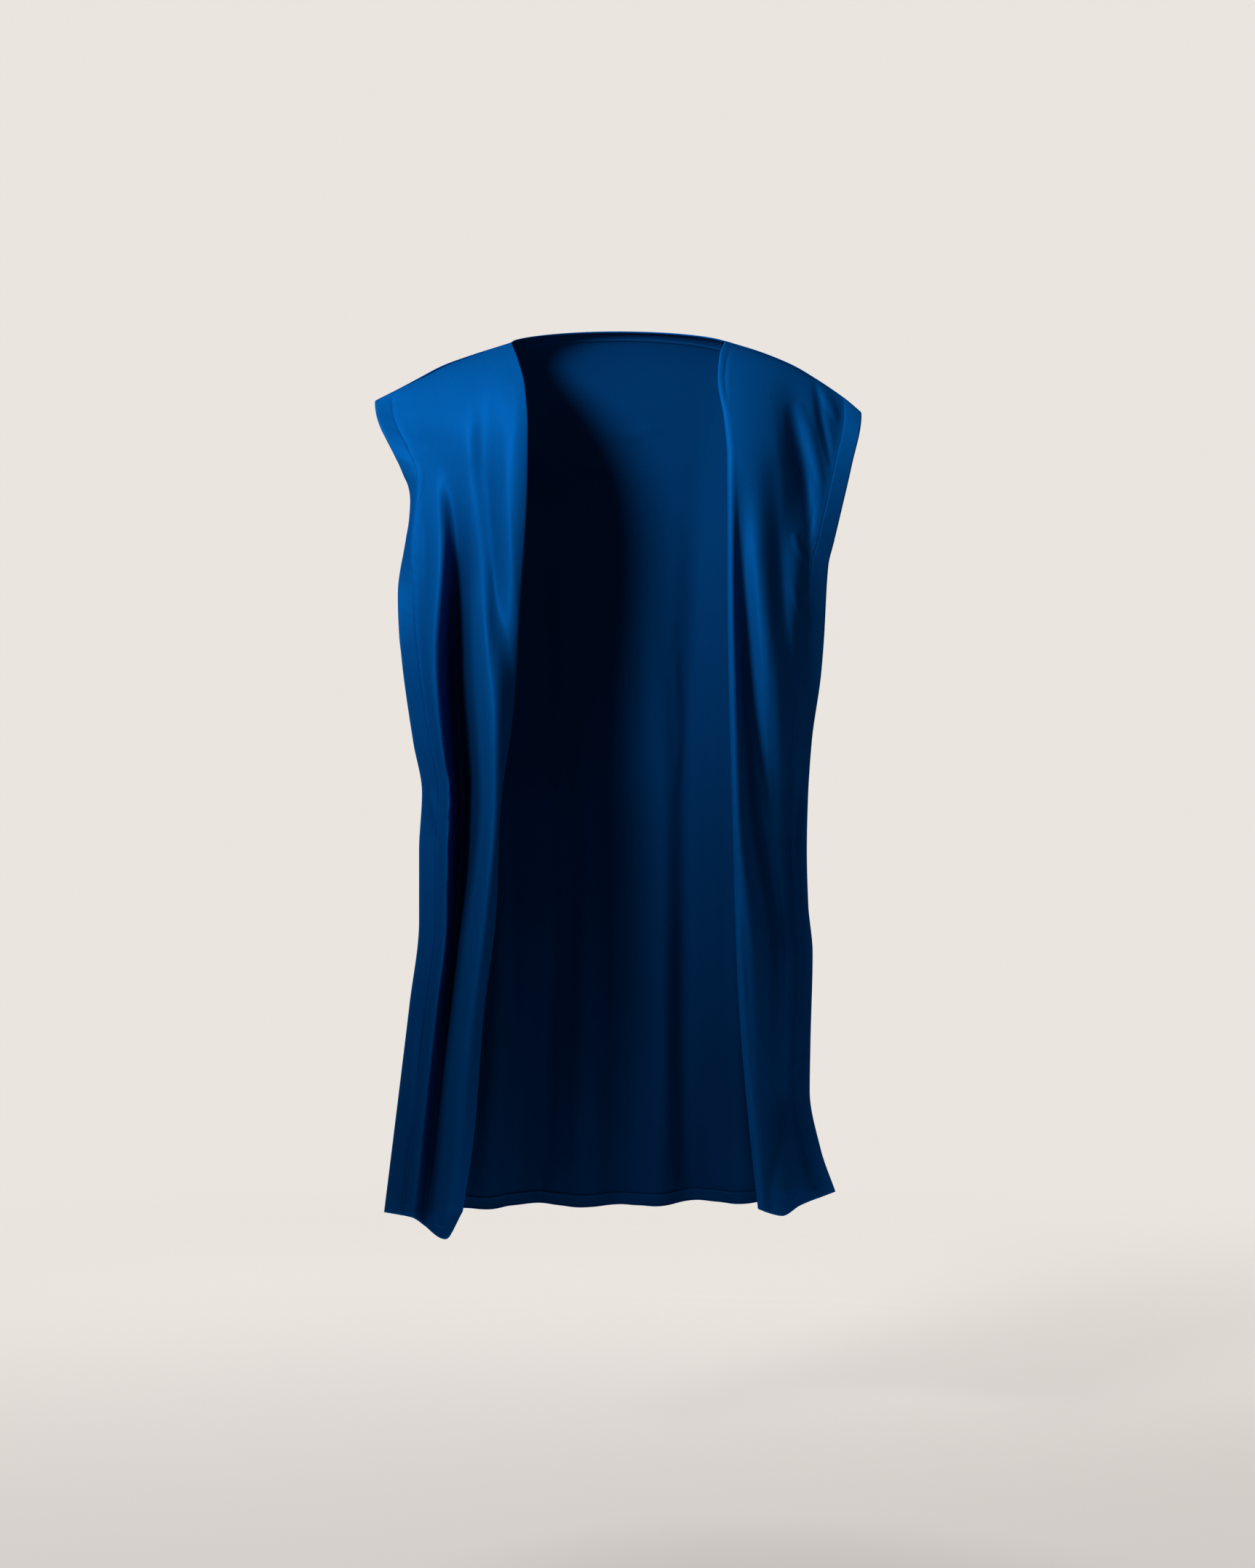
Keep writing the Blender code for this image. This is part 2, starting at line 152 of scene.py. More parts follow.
# Short soft creases: each follows its path, pairs of place across and height, swells up from nothing and dies
# away again
def creaseHeight(creases, x, z):
    total = np.zeros(np.broadcast(x, z).shape)
    x, z = np.broadcast_arrays(x, z)
    for crease in creases:
        path = np.array(crease.path, dtype=float)
        lengths = np.linalg.norm(np.diff(path, axis=0), axis=1)
        starts = np.concatenate([[0.0], np.cumsum(lengths)])
        nearest = np.full(x.shape, np.inf)
        place = np.zeros(x.shape)
        for a, b, length, start in zip(path[:-1], path[1:], lengths, starts):
            t = np.clip(((x - a[0]) * (b[0] - a[0]) + (z - a[1]) * (b[1] - a[1])) / length ** 2, 0.0, 1.0)
            gone = np.hypot(x - a[0] - t * (b[0] - a[0]), z - a[1] - t * (b[1] - a[1]))
            closer = gone < nearest
            nearest = np.where(closer, gone, nearest)
            place = np.where(closer, (start + t * length) / starts[-1], place)
        swell = np.sin(np.pi * np.clip(place, 0.0, 1.0) ** creaseForm["early"]) ** creaseForm["blunt"]
        half = crease.half * (creaseForm["endWidth"] + creaseForm["widening"] * swell)
        total = total + crease.height * swell * hill(nearest / half)
    return total


# Puckers and a sunk line along each row of stitches, and the small waves of a side edge
puckers = {"height": 0.0004, "reach": 0.010, "slant": 0.7, "shortest": 0.016, "longest": 0.060, "sines": 6,
           "groove": 0.0006, "grooveHalf": 0.0010, "even": 0.6, "uneven": 0.4, "unevenSeed": 50,
           "unevenShortest": 0.11, "unevenLongest": 0.34, "edgeWave": 0.0003, "edgeReach": 0.01,
           "edgeShortest": 0.02, "edgeLongest": 0.09}


# Uneven waves along a line of stitches, from a few sines with seeded lengths
def unevenWaves(along, seed, shortest, longest):
    chance = np.random.default_rng(seed)
    total = 0.0
    for _ in range(puckers["sines"]):
        length = chance.uniform(shortest, longest)
        total = total + np.sin(2.0 * np.pi * (along / length + chance.uniform())) * chance.uniform(0.5, 1.0)
    return total / (0.5 * puckers["sines"])


def sewnLine(distance, lineAt, along, seed):
    away = distance - lineAt
    waves = unevenWaves(along + puckers["slant"] * away, seed, puckers["shortest"], puckers["longest"])
    near = np.exp(-(away / puckers["reach"]) ** 2)
    groove = np.exp(-(away / puckers["grooveHalf"]) ** 2)
    change = unevenWaves(along, seed + puckers["unevenSeed"], puckers["unevenShortest"], puckers["unevenLongest"])
    strong = puckers["even"] + puckers["uneven"] * change
    return puckers["height"] * waves * near * strong - puckers["groove"] * groove


def depthInward(sideY, fullY, inward):
    return sideY + (fullY - sideY) * np.sin(0.5 * np.pi * np.clip(inward, 0.0, 1.0) ** robe["leaveBand"])


def roundOver(drop, radius):
    left = 1.0 - np.clip(drop / radius, 0.0, 1.0)
    return np.sqrt(1.0 - left * left)


# The cloth bends closely over the shoulder's tip and broadly beside the neck
def roundAt(share):
    return robe["roundAtTip"] + (robe["roundAtNeck"] - robe["roundAtTip"]) * ease(share)


def fromEye(x, y, z):
    nearer = 1.0 + y / eye["distance"]
    return eye["x"] + (x - eye["x"]) * nearer, y, eye["z"] + (z - eye["z"]) * nearer


# Half the depth at a side edge, where both panels' bands have to fit between front and back
def sideDepth(sideEdge, z):
    closed = robe["bandWall"] + robe["gapShare"] * robe["seamGap"]
    return np.maximum(np.abs(readAlong(sideEdge, "z", "y", z)), closed)


# Where the grid's rows lie. The last two are steps from the top of the hem's turning, and steps up from the hem
rowPlan = {"shoulderDepth": 0.118, "firstAngle": 0.004, "widerBy": 0.25, "leastAngle": 0.003, "hemMargin": 0.004,
           "hemSteps": (-0.002, -0.001, 0.0, 0.001, 0.002, 0.004, 0.006, 0.008, 0.010, 0.012),
           "endSteps": (0.0025, 0.0016, 0.0010, 0.0005, 0.0002, 0.0)}


# Shares of the way down: close together over the shoulder, then evenly spaced, then close at the turned hem
def downShares(rowStep):
    drops, angle = [0.0], rowPlan["firstAngle"]
    while angle < 0.5 * np.pi:
        drops.append(robe["roundAtNeck"] * (1.0 - np.cos(angle)))
        arc = np.hypot(rowPlan["shoulderDepth"] * np.cos(angle), robe["roundAtNeck"] * np.sin(angle))
        angle += min(rowStep / arc, rowPlan["widerBy"] * angle + rowPlan["leastAngle"])
    hemTop = robe["length"] - robe["hemBand"]
    evenEnd = hemTop - rowPlan["hemMargin"]
    count = int((evenEnd - drops[-1]) / rowStep)
    drops += list(np.linspace(drops[-1], evenEnd, count + 1)[1:])
    drops += [hemTop + step for step in rowPlan["hemSteps"]]
    drops += [robe["length"] - step for step in rowPlan["endSteps"]]
    return np.array(drops)[:, None] / robe["length"]


# Distances of the grid's columns from a panel's edges, across its band and its facing
bandSteps = [0.0, 0.0002, 0.0005, 0.0010, 0.0016, 0.0026, 0.004, 0.006, 0.008, 0.010, 0.012, 0.014, 0.016, 0.018,
             0.0195, 0.0205, 0.0213, 0.0219, 0.0225, 0.0231, 0.0237]
facingSteps = [0.002, 0.004, 0.006, 0.008, 0.0094, 0.0104, 0.0110, 0.0115, 0.0118, 0.012]
stitchIn = 0.0015    # the stitches run this far inside the band's free edge


# The two fronts: where their edges run, how their folds hang, and their short creases
frontRight = {
    "name": "frontRight",
    "nodes": "front_right",
    "flat": (0.35, 1.24),
    "area": 0.332,
    "sideEdge": rowsOf(edgeRow, [
        (-0.020, -0.334, 0.0), (-0.055, -0.334, -0.0015), (-0.082, -0.334, -0.006), (-0.094, -0.333, -0.010),
        (-0.170, -0.301, -0.034), (-0.223, -0.280, -0.042), (-0.257, -0.282, -0.046), (-0.300, -0.300, -0.050),
        (-0.346, -0.304, -0.052), (-0.436, -0.297, -0.048), (-0.551, -0.281, -0.030), (-0.620, -0.269, -0.010),
        (-0.700, -0.273, 0.0), (-0.796, -0.273, 0.0), (-0.910, -0.286, 0.0), (-1.083, -0.307, 0.0),
        (-1.196, -0.321, 0.0)]),
    "frontEdge": rowsOf(edgeRow, [
        (-0.003, -0.147, -0.118), (-0.022, -0.1395, -0.118), (-0.062, -0.129, -0.118), (-0.119, -0.125, -0.118),
        (-0.188, -0.1255, -0.120), (-0.364, -0.136, -0.124), (-0.498, -0.144, -0.126), (-0.650, -0.163, -0.128),
        (-0.781, -0.168, -0.126), (-0.930, -0.186, -0.116), (-1.083, -0.198, -0.100), (-1.195, -0.214, -0.088)]),
    "shoulder": rowsOf(heightRow, [
        (0.0, -0.082), (0.20, -0.063), (0.33, -0.050), (0.50, -0.0335), (0.69, -0.0205), (1.0, -0.002)]),
    "hem": rowsOf(heightRow, [
        (0.0, -1.196), (0.37, -1.204), (0.77, -1.233), (1.0, -1.195)]),
    # Where the side band turns under: height, place of its stitch line, and its turn in degrees
    "bandTurn": rowsOf(turnRow, [
        (-0.120, -0.2980, 0.0), (-0.150, -0.2862, 10.0), (-0.178, -0.2768, 32.0), (-0.198, -0.2752, 56.0),
        (-0.224, -0.2782, 72.0), (-0.250, -0.2815, 75.0), (-0.270, -0.2838, 72.0), (-0.289, -0.2848, 66.0),
        (-0.310, -0.2836, 51.0), (-0.346, -0.2806, 24.0), (-0.390, -0.2775, 8.0), (-0.430, -0.2745, 0.0)]),
    "folds": rowsOf(foldRow, [
        ([(-0.20, -0.250), (-0.29, -0.247), (-0.43, -0.254), (-0.55, -0.246), (-0.63, -0.236),
          (-0.80, -0.239), (-0.91, -0.252), (-1.08, -0.272), (-1.19, -0.285)],
         [(-0.16, 0.0), (-0.29, 0.012), (-0.43, 0.032), (-0.63, 0.056), (-0.90, 0.052), (-1.19, 0.036)],
         0.026, 0.019, 1.1),
        ([(-0.20, -0.226), (-0.29, -0.218), (-0.43, -0.222), (-0.63, -0.211), (-0.83, -0.224),
          (-1.00, -0.238), (-1.19, -0.252)],
         [(-0.150, 0.0), (-0.25, -0.024), (-0.33, -0.044), (-0.45, -0.058), (-0.63, -0.060), (-0.90, -0.050),
          (-1.20, -0.040)], 0.026, 0.044, 1.0),
        ([(-0.15, -0.215), (-0.29, -0.208), (-0.43, -0.182), (-0.63, -0.167), (-0.83, -0.198),
          (-0.99, -0.221), (-1.13, -0.231), (-1.20, -0.239)],
         [(-0.18, 0.0), (-0.29, 0.006), (-0.43, 0.020), (-0.63, 0.030), (-0.90, 0.040), (-1.20, 0.050)],
         0.036, 0.034, 1.0),
        ([(-0.03, -0.178), (-0.15, -0.181), (-0.29, -0.172), (-0.40, -0.163)],
         [(-0.02, 0.0), (-0.15, -0.014), (-0.29, -0.020), (-0.37, -0.012), (-0.48, 0.0)], 0.030, 0.028, 1.0)]),
    # How far back the front edge turns at some heights, and over what width
    "edgeTurn": [(0.0, 0.0), (-0.10, 0.005), (-0.30, 0.012), (-0.45, 0.020), (-0.63, 0.026), (-0.90, 0.026),
                 (-1.20, 0.026)],
    "edgeReach": 0.028,
    "bandSlope": [],
    "creases": rowsOf(creaseRow, [
        ([(-0.268, -0.174), (-0.272, -0.206), (-0.278, -0.228)], 0.0060, -0.0014),
        ([(-0.264, -0.250), (-0.263, -0.300), (-0.266, -0.360)], 0.0080, -0.0022),
        ([(-0.271, -0.930), (-0.282, -1.110)], 0.0100, 0.0022),
        ([(-0.262, -0.610), (-0.250, -0.665), (-0.236, -0.700)], 0.0080, -0.0012),
        ([(-0.150, -0.060), (-0.163, -0.150), (-0.172, -0.230)], 0.0200, -0.0030)]),
    "freeColumns": 78,
    "seed": 11,
}

frontLeft = {
    "name": "frontLeft",
    "nodes": "front_left",
    "flat": (0.22, 1.24),
    "area": 0.23,
    "sideEdge": rowsOf(edgeRow, [
        (-0.030, 0.3335, 0.0), (-0.068, 0.3335, -0.0015), (-0.098, 0.3335, -0.006), (-0.170, 0.320, -0.032),
        (-0.236, 0.305, -0.042), (-0.276, 0.2955, -0.046), (-0.308, 0.288, -0.050), (-0.410, 0.282, -0.050),
        (-0.458, 0.278, -0.046), (-0.551, 0.265, -0.030), (-0.631, 0.2595, -0.008), (-0.700, 0.258, 0.0),
        (-0.774, 0.260, 0.0), (-0.840, 0.266, 0.0), (-0.964, 0.263, 0.0), (-1.030, 0.262, 0.0),
        (-1.110, 0.277, 0.0), (-1.168, 0.297, 0.0)]),
    "frontEdge": rowsOf(edgeRow, [
        (0.001, 0.1475, -0.118), (-0.016, 0.1405, -0.118), (-0.050, 0.1376, -0.118), (-0.108, 0.146, -0.118),
        (-0.157, 0.150, -0.120), (-0.363, 0.1505, -0.124), (-0.645, 0.157, -0.128), (-0.879, 0.164, -0.128),
        (-0.970, 0.170, -0.120), (-1.070, 0.179, -0.110), (-1.192, 0.192, -0.100)]),
    "shoulder": rowsOf(heightRow, [
        (0.0, -0.098), (0.10, -0.082), (0.21, -0.067), (0.34, -0.051), (0.50, -0.0335), (0.74, -0.015), (1.0, 0.0)]),
    "hem": rowsOf(heightRow, [
        (0.0, -1.168), (0.45, -1.187), (0.68, -1.201), (1.0, -1.192)]),
    "folds": rowsOf(foldRow, [
        ([(-0.15, 0.154), (-0.43, 0.157), (-0.63, 0.163), (-0.83, 0.187), (-1.00, 0.196), (-1.19, 0.198)],
         [(-0.10, 0.0), (-0.30, 0.004), (-0.63, 0.008), (-0.90, 0.010), (-1.20, 0.006)], 0.010, 0.012, 1.6),
        ([(-0.20, 0.167), (-0.29, 0.167), (-0.43, 0.171), (-0.63, 0.184), (-0.83, 0.211), (-1.00, 0.214),
          (-1.19, 0.207)],
         [(-0.17, 0.0), (-0.29, -0.009), (-0.43, -0.022), (-0.63, -0.028), (-0.83, -0.020), (-1.00, -0.010),
          (-1.20, -0.006)], 0.026, 0.012, 1.2),
        ([(-0.15, 0.190), (-0.29, 0.198), (-0.43, 0.211), (-0.63, 0.228), (-0.83, 0.250), (-1.00, 0.244),
          (-1.19, 0.234)],
         [(-0.12, 0.0), (-0.29, 0.010), (-0.43, 0.022), (-0.63, 0.028), (-0.90, 0.028), (-1.20, 0.028)],
         0.024, 0.026, 1.5),
        ([(-0.06, 0.238), (-0.13, 0.246), (-0.20, 0.255), (-0.30, 0.256), (-0.40, 0.256)],
         [(-0.02, 0.0), (-0.11, -0.009), (-0.17, -0.013), (-0.24, -0.008), (-0.32, 0.0)], 0.026, 0.034, 1.0),
        ([(-0.20, 0.250), (-0.30, 0.244), (-0.45, 0.237), (-0.63, 0.240), (-0.80, 0.250)],
         [(-0.20, 0.0), (-0.30, 0.010), (-0.42, 0.015), (-0.55, 0.012), (-0.74, 0.0)], 0.024, 0.028, 1.0),
        ([(-0.70, 0.256), (-0.90, 0.268), (-1.19, 0.268)],
         [(-0.64, 0.0), (-0.85, -0.010), (-1.20, -0.008)], 0.026, 0.034, 1.0)]),
    # How steeply the side band falls back past its stitch line
    "bandSlope": [(0.0, 0.0), (-0.10, 0.0), (-0.17, 0.25), (-0.27, 0.60), (-0.40, 0.80), (-0.52, 0.45), (-0.62, 0.0),
                  (-1.20, 0.0)],
    "edgeTurn": [(0.0, 0.0), (-0.06, 0.003), (-0.30, 0.005), (-0.63, 0.006), (-0.90, 0.010), (-1.20, 0.018)],
    "edgeReach": 0.009,
    "creases": rowsOf(creaseRow, [
        ([(0.270, -0.052), (0.279, -0.110), (0.292, -0.172)], 0.0100, -0.0042),
        ([(0.274, -0.048), (0.290, -0.085), (0.300, -0.110)], 0.0110, 0.0040),
        ([(0.246, -0.080), (0.262, -0.130), (0.279, -0.200)], 0.0120, 0.0026),
        ([(0.234, -0.084), (0.242, -0.140), (0.258, -0.215), (0.264, -0.270)], 0.0150, -0.0042),
        ([(0.240, -0.262), (0.247, -0.284), (0.260, -0.306)], 0.0090, 0.0024),
        ([(0.238, -0.330), (0.246, -0.362), (0.256, -0.400)], 0.0080, 0.0016),
        ([(0.1545, 0.004), (0.1520, -0.014), (0.1475, -0.030), (0.1460, -0.050), (0.1490, -0.085)], 0.0036, -0.0042),
        ([(0.249, -0.610), (0.244, -0.668), (0.240, -0.740)], 0.0060, -0.0012),
        ([(0.232, -0.640), (0.238, -0.700), (0.243, -0.760)], 0.0090, 0.0016)]),
    "freeColumns": 78,
    "bandTurn": [],
    "seed": 23,
}


# However deep a fold is, the front stays in front of the back
def clearOfBack(y, clearOfEdge):
    above = -y - robe["backClear"]
    kept = robe["backClear"] + 0.5 * (above + np.sqrt(above * above + robe["backClear"] ** 2))
    return y + ease(clearOfEdge / robe["backClearFrom"]) * (-kept - y)


# The sunk line across the side band where the armhole ends, and how the fronts' hem puckers fade upwards
joinLine = {"below": 0.0015, "half": 0.0012, "sunk": 0.0009, "end": 0.027, "fade": 0.004}
hemPuckers = {"full": 0.04, "fade": 0.2}


def frontRelief(panel, x, z, distance, width, rise):
    seed = panel["seed"]
    relief = creaseHeight(panel["creases"], x, z)
    relief = relief + sewnLine(distance, robe["sideBand"] - stitchIn, z, seed)
    # This line lies past the hem's edge, so its groove doesn't reach the cloth and its puckers are very faint
    hemLine = sewnLine(-rise, robe["hemBand"] - stitchIn, x, seed + 1)
    relief = relief + hemLine * ease(1.0 + (hemPuckers["full"] - rise) / hemPuckers["fade"])
    waves = unevenWaves(z, seed + 2, puckers["edgeShortest"], puckers["edgeLongest"])
    relief = relief + puckers["edgeWave"] * waves * np.exp(-distance / puckers["edgeReach"])
    nearFront = np.clip(1.0 - (width - distance) / panel["edgeReach"], 0.0, 1.0)
    relief = relief - pairsAlong(panel["edgeTurn"], z) * nearFront ** 2
    fromJoin = (z - robe["armholeJoin"] + joinLine["below"]) / joinLine["half"]
    onBand = ease((joinLine["end"] - distance) / joinLine["fade"])
    return relief - joinLine["sunk"] * np.exp(-fromJoin ** 2) * onBand


def frontGrid(panel, shares, fixed, down):
    band = robe["sideBand"]
    sideEdge, frontEdge = panel["sideEdge"], panel["frontEdge"]

    def distanceAt(width):
        return fixed + shares * (width - band - robe["edgeFacing"])

    def endHeight(rows, end):
        width = abs(frontEdge[end].x - sideEdge[end].x)
        return readAlong(rows, "share", "z", distanceAt(width) / width)

    topZ, lowZ = endHeight(panel["shoulder"], 0), endHeight(panel["hem"], -1)
    z = topZ + (lowZ - topZ) * down
    toward = np.sign(frontEdge[0].x - sideEdge[0].x)
    lineX = readAlong(sideEdge, "z", "x", z) + toward * band
    angle = np.zeros(z.shape)
    if panel["bandTurn"]:
        turn = panel["bandTurn"]
        here = ease((turn[0].z - z) / robe["turnFade"]) * ease((z - turn[-1].z) / robe["turnFade"])
        lineX = lineX + here * (readAlong(turn, "z", "x", z) - lineX)
        angle = here * np.radians(readAlong(turn, "z", "angle", z))
    width = np.abs(readAlong(frontEdge, "z", "x", z) - lineX) + band
    distance = distanceAt(width)
    outside = np.maximum(band - distance, 0.0)
    x = lineX + toward * (np.maximum(distance - band, 0.0) - outside * np.cos(angle))
    frontY = readAlong(frontEdge, "z", "y", z)
    y = depthInward(-sideDepth(sideEdge, z), frontY, (distance - band) / (width - band))
    folded = foldHeight(panel["folds"], x, z, distance - band, toward)
    y = clearOfBack(y - folded, distance - band) + outside * np.sin(angle)
    if panel["bandSlope"]:
        y = y + outside * pairsAlong(panel["bandSlope"], z)
    rise = z - lowZ
    y = y - frontRelief(panel, x, z, distance, width, rise) * ease((topZ - z) / robe["topFade"])
    y = y * roundOver(topZ - z, roundAt(distance / width))
    y = np.where(down == 0.0, -0.5 * robe["seamGap"], y)
    points = np.stack(np.broadcast_arrays(*fromEye(x, y, z)), axis=-1)
    # Painted shade: how far the base colour is darkened in a deep fold's valley, standing in for the shade there
    paintedShade = ease(-folded / robe["deepFold"]) * ease(-z / robe["paintedFoldShadeFrom"])
    return points, distance, width, rise, paintedShade


def outward(points, seamColumns, facing):
    down = np.gradient(points, axis=0)
    across = np.gradient(points, axis=1)
    normals = np.cross(down, across)
    normals *= np.sign(np.mean(normals[..., 1]) * facing)
    normals[0, seamColumns, 1] = 0.0
    return normals / np.linalg.norm(normals, axis=2, keepdims=True)


# Turned edges roll inwards over their last millimetre or so; each is given by the distances from it
def rollEdges(points, edges, seamColumns, facing):
    normals = outward(points, seamColumns, facing)
    for distance in edges:
        part = 1.0 - np.clip(distance / robe["rollRadius"], 0.0, 1.0)
        sunk = robe["rollDepth"] * (1.0 - np.sqrt(1.0 - part * part))
        points = points - normals * sunk[..., None]
    return points, outward(points, seamColumns, facing)


def edgeWear(edges):
    return np.clip(sum(np.exp(-distance / robe["wearReach"]) for distance in edges), 0.0, 1.0)


def inScene(name, data):
    thing = bpy.data.objects.new(name, data)
    bpy.context.scene.collection.objects.link(thing)
    return thing


# A flat map of the cloth in metres: lengths along its rows, and down its columns
def layMap(points):
    across = np.linalg.norm(np.diff(points, axis=1), axis=2)
    down = np.linalg.norm(np.diff(points, axis=0), axis=2)
    u = np.concatenate([np.zeros((points.shape[0], 1)), np.cumsum(across, axis=1)], axis=1)
    v = np.concatenate([np.zeros((1, points.shape[1])), np.cumsum(down, axis=0)], axis=0)
    return np.stack([u, v], axis=-1)


# A thin closed shell between two distances from a grid of points
def shell(name, points, normals, inner, outer, wear, paintedShade, materials):
    rows, columns = points.shape[:2]
    count = rows * columns
    layers = [points + normals * inner, points + normals * outer]
    vertices = np.concatenate([layer.reshape(-1, 3) for layer in layers])
    index = np.arange(count).reshape(rows, columns)
    a, b, c, d = index[:-1, :-1], index[:-1, 1:], index[1:, 1:], index[1:, :-1]
    front = np.stack([a, d, c, b], axis=-1).reshape(-1, 4) + count
    back = np.stack([a, b, c, d], axis=-1).reshape(-1, 4)
    rim = np.concatenate([index[0, :], index[1:, -1], index[-1, -2::-1], index[-2:0:-1, 0]])
    after = np.roll(rim, -1)
    edge = np.stack([rim, rim + count, after + count, after], axis=-1)
    faces = np.concatenate([front, back, edge])
    row, column = rows // 2, columns // 2
    middle = points[row, column]
    upward = np.cross(points[row + 1, column] - middle, points[row, column + 1] - middle)
    if np.dot(upward, normals[row, column]) < 0.0:
        faces = faces[:, ::-1]
    mesh = bpy.data.meshes.new(name)
    mesh.vertices.add(len(vertices))
    mesh.vertices.foreach_set("co", vertices.ravel())
    mesh.loops.add(faces.size)
    mesh.loops.foreach_set("vertex_index", faces.ravel().astype(np.int32))
    mesh.polygons.add(len(faces))
    mesh.polygons.foreach_set("loop_start", np.arange(0, faces.size, 4, dtype=np.int32))
    mesh.update(calc_edges=True)
    mesh.validate()
    uv = np.tile(layMap(points).reshape(-1, 2), (2, 1))
    layer = mesh.uv_layers.new(name="clothMap")
    layer.data.foreach_set("uv", uv[faces.ravel()].ravel())
    # Stores the edge wear and the painted fold shade for the material
    for label, amount in (("edgeWear", wear), ("deepFold", paintedShade)):
        layer = mesh.attributes.new(label, "FLOAT", "POINT")
        layer.data.foreach_set("value", np.tile(np.broadcast_to(amount, (rows, columns)).ravel(), 2))
    for material in materials:
        mesh.materials.append(material)
    kinds = np.zeros(len(faces), dtype=np.int32)
    kinds[len(front): len(front) + len(back)] = len(materials) - 1
    mesh.polygons.foreach_set("material_index", kinds)
    mesh.shade_smooth()
    mesh.set_sharp_from_angle(angle=np.radians(robe["sharpAngle"]))
    return inScene(name, mesh)


def setInputs(node, values):
    for name, value in values.items():
        node.inputs[name].default_value = value


# Makes math nodes in one tree: a number is set on its socket and an output is linked to it
def mathIn(nodes, links):
    def makeMath(kind, first, second=None):
        node = nodes.new("ShaderNodeMath")
        node.operation = kind
        for socket, value in zip(node.inputs, (first, second)):
            if isinstance(value, (int, float)):
                socket.default_value = value
            elif value is not None:
                links.new(value, socket)
        return node.outputs[0]
    return makeMath


weaveMix = {"crossed": 0.25, "slanted": 0.25, "middle": 0.5, "threadHeight": 0.7, "slubHeight": 0.3,
            "slubStretch": (6.0, 1.0, 1.0), "slubDetail": 3.0, "cloudDetail": 2.0}


# The weave that both cloth materials share
def buildWeave():
    group = bpy.data.node_groups.new("wovenSuiting", "ShaderNodeTree")
    for name, kind, value in (("Cloth Map", "NodeSocketVector", None), ("Thread Pitch", "NodeSocketFloat", 0.0007),
                              ("Slub Size", "NodeSocketFloat", 60.0), ("Cloud Size", "NodeSocketFloat", 5.0)):
        socket = group.interface.new_socket(name, in_out="INPUT", socket_type=kind)
        if value is not None:
            socket.default_value = value
    for name in ("Threads", "Slubs", "Clouds", "Height"):
        group.interface.new_socket(name, in_out="OUTPUT", socket_type="NodeSocketFloat")
    nodes, links = group.nodes, group.links
    math = mathIn(nodes, links)
    given, made = nodes.new("NodeGroupInput"), nodes.new("NodeGroupOutput")
    parts = nodes.new("ShaderNodeSeparateXYZ")
    links.new(given.outputs["Cloth Map"], parts.inputs[0])
    turns = math("DIVIDE", 2.0 * np.pi, given.outputs["Thread Pitch"])
    across = math("MULTIPLY", parts.outputs[0], turns)
    along = math("MULTIPLY", parts.outputs[1], turns)
    crossed = math("MULTIPLY", math("SINE", across), math("SINE", along))
    slanted = math("SINE", math("MULTIPLY", math("ADD", across, along), 0.5))
    twill = math("ADD", math("MULTIPLY", crossed, weaveMix["crossed"]),
                 math("MULTIPLY", slanted, weaveMix["slanted"]))
    threads = math("ADD", twill, weaveMix["middle"])
    stretch = nodes.new("ShaderNodeMapping")
    setInputs(stretch, {"Scale": weaveMix["slubStretch"]})
    links.new(given.outputs["Cloth Map"], stretch.inputs["Vector"])
    noises = []
    for place, size, detail in ((stretch.outputs[0], "Slub Size", "slubDetail"),
                                (given.outputs["Cloth Map"], "Cloud Size", "cloudDetail")):
        noise = nodes.new("ShaderNodeTexNoise")
        setInputs(noise, {"Detail": weaveMix[detail]})
        links.new(place, noise.inputs["Vector"])
        links.new(given.outputs[size], noise.inputs["Scale"])
        noises.append(noise.outputs[0])
    slubs, clouds = noises
    height = math("ADD", math("MULTIPLY", threads, weaveMix["threadHeight"]),
                  math("MULTIPLY", slubs, weaveMix["slubHeight"]))
    for name, output in (("Threads", threads), ("Slubs", slubs), ("Clouds", clouds), ("Height", height)):
        links.new(output, made.inputs[name])
    return group


# The finishes: the outer side of the cloth, its inner side, and the thread. The sunk colour is painted shade for
# deep folds, and the inner side's darker colours are painted shade too
robeBlue = {"deep": (0.0004, 0.050, 0.200), "bright": (0.0008, 0.074, 0.285), "worn": (0.002, 0.100, 0.360),
            "sunk": (0.0001, 0.010, 0.048), "metallic": 0.20, "roughness": 0.56, "roughSpread": 0.08, "index": 1.45,
            "specular": 0.0, "tint": (0.0, 0.30, 1.0), "threadPitch": 0.0008, "bump": 0.22, "bumpDepth": 0.0003}
# The inner side: a duller wrong side in finish, with lower metallic and higher roughness, and colours darkened well
# below the outer side's as painted shade for the inside of the robe
insideShadedBlue = {**robeBlue, "deep": (0.0002, 0.020, 0.084), "bright": (0.0005, 0.032, 0.125),
              "worn": (0.001, 0.060, 0.220), "metallic": 0.05, "roughness": 0.74, "bump": 0.18}
threadBlue = {"deep": (0.001, 0.080, 0.280), "bright": (0.004, 0.130, 0.400), "roughness": 0.45,
              "tint": (0.1, 0.40, 1.0), "twistSize": 900.0, "bump": 0.2, "bumpDepth": 0.0002}
toneMix = {"Threads": 0.35, "Slubs": 0.35, "Clouds": 0.30}
# How far the edge wear and the painted fold shade move the colour
maskMix = {"worn": 0.5, "sunk": 0.7}


def newMaterial(name):
    material = bpy.data.materials.new(name)
    material.use_nodes = True
    nodes = material.node_tree.nodes
    return material, nodes, material.node_tree.links, nodes["Principled BSDF"]


